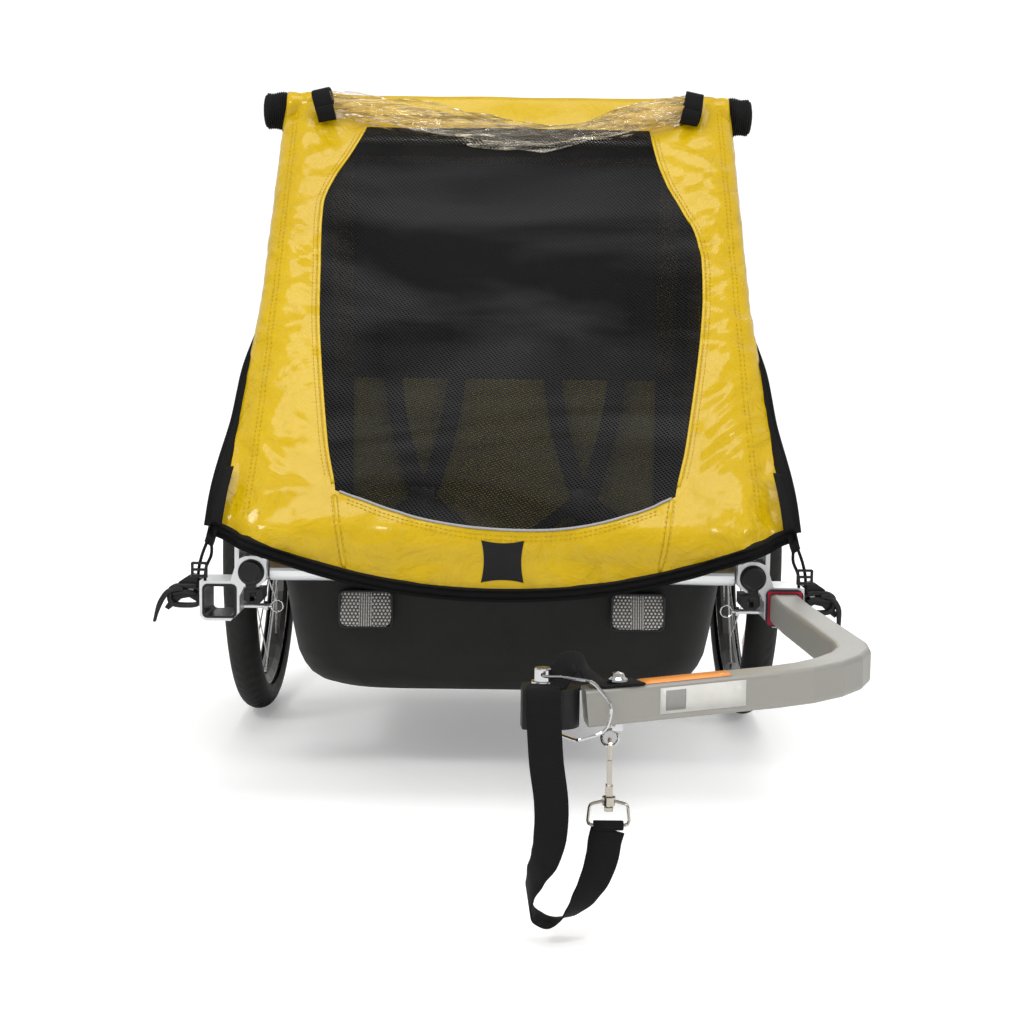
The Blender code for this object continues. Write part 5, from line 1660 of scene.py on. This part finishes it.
outline = ((0.3170, 0.3125), (0.3240, 0.3190), (0.3450, 0.3235), (REAR_FOOT - 0.004, 0.3290))
rows = [[spot(lerp(-0.272, 0.272, k / 20), y, z) for y, z in outline] for k in range(21)]
squash(skirt_sheet("cabin_skirt_rear", rows))


def reflector_bezel(label):
    """Frame round the front reflector, leaning with its face."""
    lo, hi = (Vector(p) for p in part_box(f"front_reflector_{label}"))
    mid = (lo + hi) / 2
    radius = 0.006
    wide, high = (hi.x - lo.x) / 2 + 0.0008 - radius, (hi.z - lo.z) / 2 + 0.0008 - radius
    points = []
    for k, (right, up) in enumerate(((1, 1), (-1, 1), (-1, -1), (1, -1))):
        for i in range(6):
            a = math.pi / 2 * (k + i / 5)
            x = right * wide + radius * math.cos(a)
            z = up * high + radius * math.sin(a)
            points.append(mid + vec(x, -0.0015 - z * math.tan(math.radians(12.5)), z))
    sweep(f"reflector_bezel_{label}", points, oval(0.0034, 0.0060, 8), closed=True, up=AXIS_Y)


for label, _ in SIDES:
    reflector_bezel(label)


# =============================================================== stage, light, camera
def studio_floor():
    """A floor that curves up into a back wall; it glows a little to the camera."""
    mat = Shader("pale_floor")
    normal = mat.bump(mat.noise(scale=3, detail=3), distance=0.001, strength=0.1)
    material = mat.finish((0.90, 0.90, 0.895), roughness=0.55, normal=normal,
                          Emission_Color=(1.0, 1.0, 1.0, 1.0))
    seen = mat.node("ShaderNodeLightPath").outputs["Is Camera Ray"]
    glow = 0.26
    mat.link(mat.times(seen, glow), mat.bsdf.inputs["Emission Strength"])
    outline = [(lerp(-6.0, 3.2, k / 19), 0.0) for k in range(20)]  # y, z
    for k in range(20, 40):
        a = math.pi / 2 * (k - 19) / 20
        outline.append((3.2 + 2.2 * math.sin(a), 2.2 * (1 - math.cos(a))))
    outline.append((5.4, 9.0))
    rows = [[vec(x, y, z) for x in (-9, -3, 3, 9)] for y, z in outline]
    sheet("studio_floor", rows, material, body=None)


def studio_world():
    world = bpy.data.worlds.new("studio")
    world.use_nodes = True
    tree = world.node_tree
    background = tree.nodes["Background"]
    background.inputs["Color"].default_value = (1, 1, 1, 1)
    path = tree.nodes.new("ShaderNodeLightPath")
    # mirrors see a dimmer room than matt surfaces do
    level = tree.nodes.new("ShaderNodeMapRange")
    level.inputs["To Min"].default_value = 0.92
    level.inputs["To Max"].default_value = 0.50
    tree.links.new(path.outputs["Is Glossy Ray"], level.inputs["Value"])
    # past the floor's edge the camera sees a room as pale as the floor
    white = tree.nodes.new("ShaderNodeMath")
    white.operation = "MULTIPLY_ADD"
    white.inputs[1].default_value = 0.30
    tree.links.new(path.outputs["Is Camera Ray"], white.inputs[0])
    tree.links.new(level.outputs[0], white.inputs[2])
    tree.links.new(white.outputs[0], background.inputs["Strength"])
    scene = bpy.context.scene
    scene.world = world
    scene.view_settings.view_transform = "Standard"
    scene.view_settings.exposure = -0.15


def area_light(name, place, target, size, power):
    data = bpy.data.lights.new(name, "AREA")
    data.energy = power
    data.shape = "RECTANGLE"
    data.size, data.size_y = size
    obj = bpy.data.objects.new(name, data)
    obj.location = place
    obj.rotation_euler = (Vector(target) - Vector(place)).to_track_quat("-Z", "Y").to_euler()
    bpy.context.scene.collection.objects.link(obj)


def add_camera():
    data = bpy.data.cameras.new("camera")
    data.lens = 58.0078125
    data.sensor_width = 36
    camera = bpy.data.objects.new("camera", data)
    camera.location = spot(0.0, -2.43, 0.515)
    pitch, yaw, roll = math.radians(-5.2), math.radians(-0.31), math.radians(0.75)
    camera.matrix_world = (Matrix.Translation(camera.location) @ Matrix.Rotation(yaw, 4, "Z")
                           @ Matrix.Rotation(math.radians(90) + pitch, 4, "X")
                           @ Matrix.Rotation(roll, 4, "Z"))
    bpy.context.scene.collection.objects.link(camera)
    bpy.context.scene.camera = camera


studio_floor()
studio_world()
MIDDLE = (0, -0.2, 0.45)
area_light("key", (-1.7, -2.5, 2.7), MIDDLE, size=(0.9, 0.7), power=42)
area_light("fill", (2.3, -2.2, 2.2), MIDDLE, size=(0.9, 0.7), power=30)
area_light("overhead", (0, -0.5, 3.2), (0, -0.2, 0.3), size=(1.8, 1.2), power=27)
area_light("back", (0.4, 3.2, 2.2), (0, 0.2, 0.5), size=(2.4, 1.4), power=30)
area_light("cabin", spot(0, 0.02, 0.80), spot(0, 0.06, 0.30), size=(0.34, 0.12), power=1.0)
area_light("cabin_front", spot(0, -0.30, 0.46), spot(0, 0.10, 0.36), size=(0.30, 0.12), power=0.7)
add_camera()

bpy.context.view_layer.update()
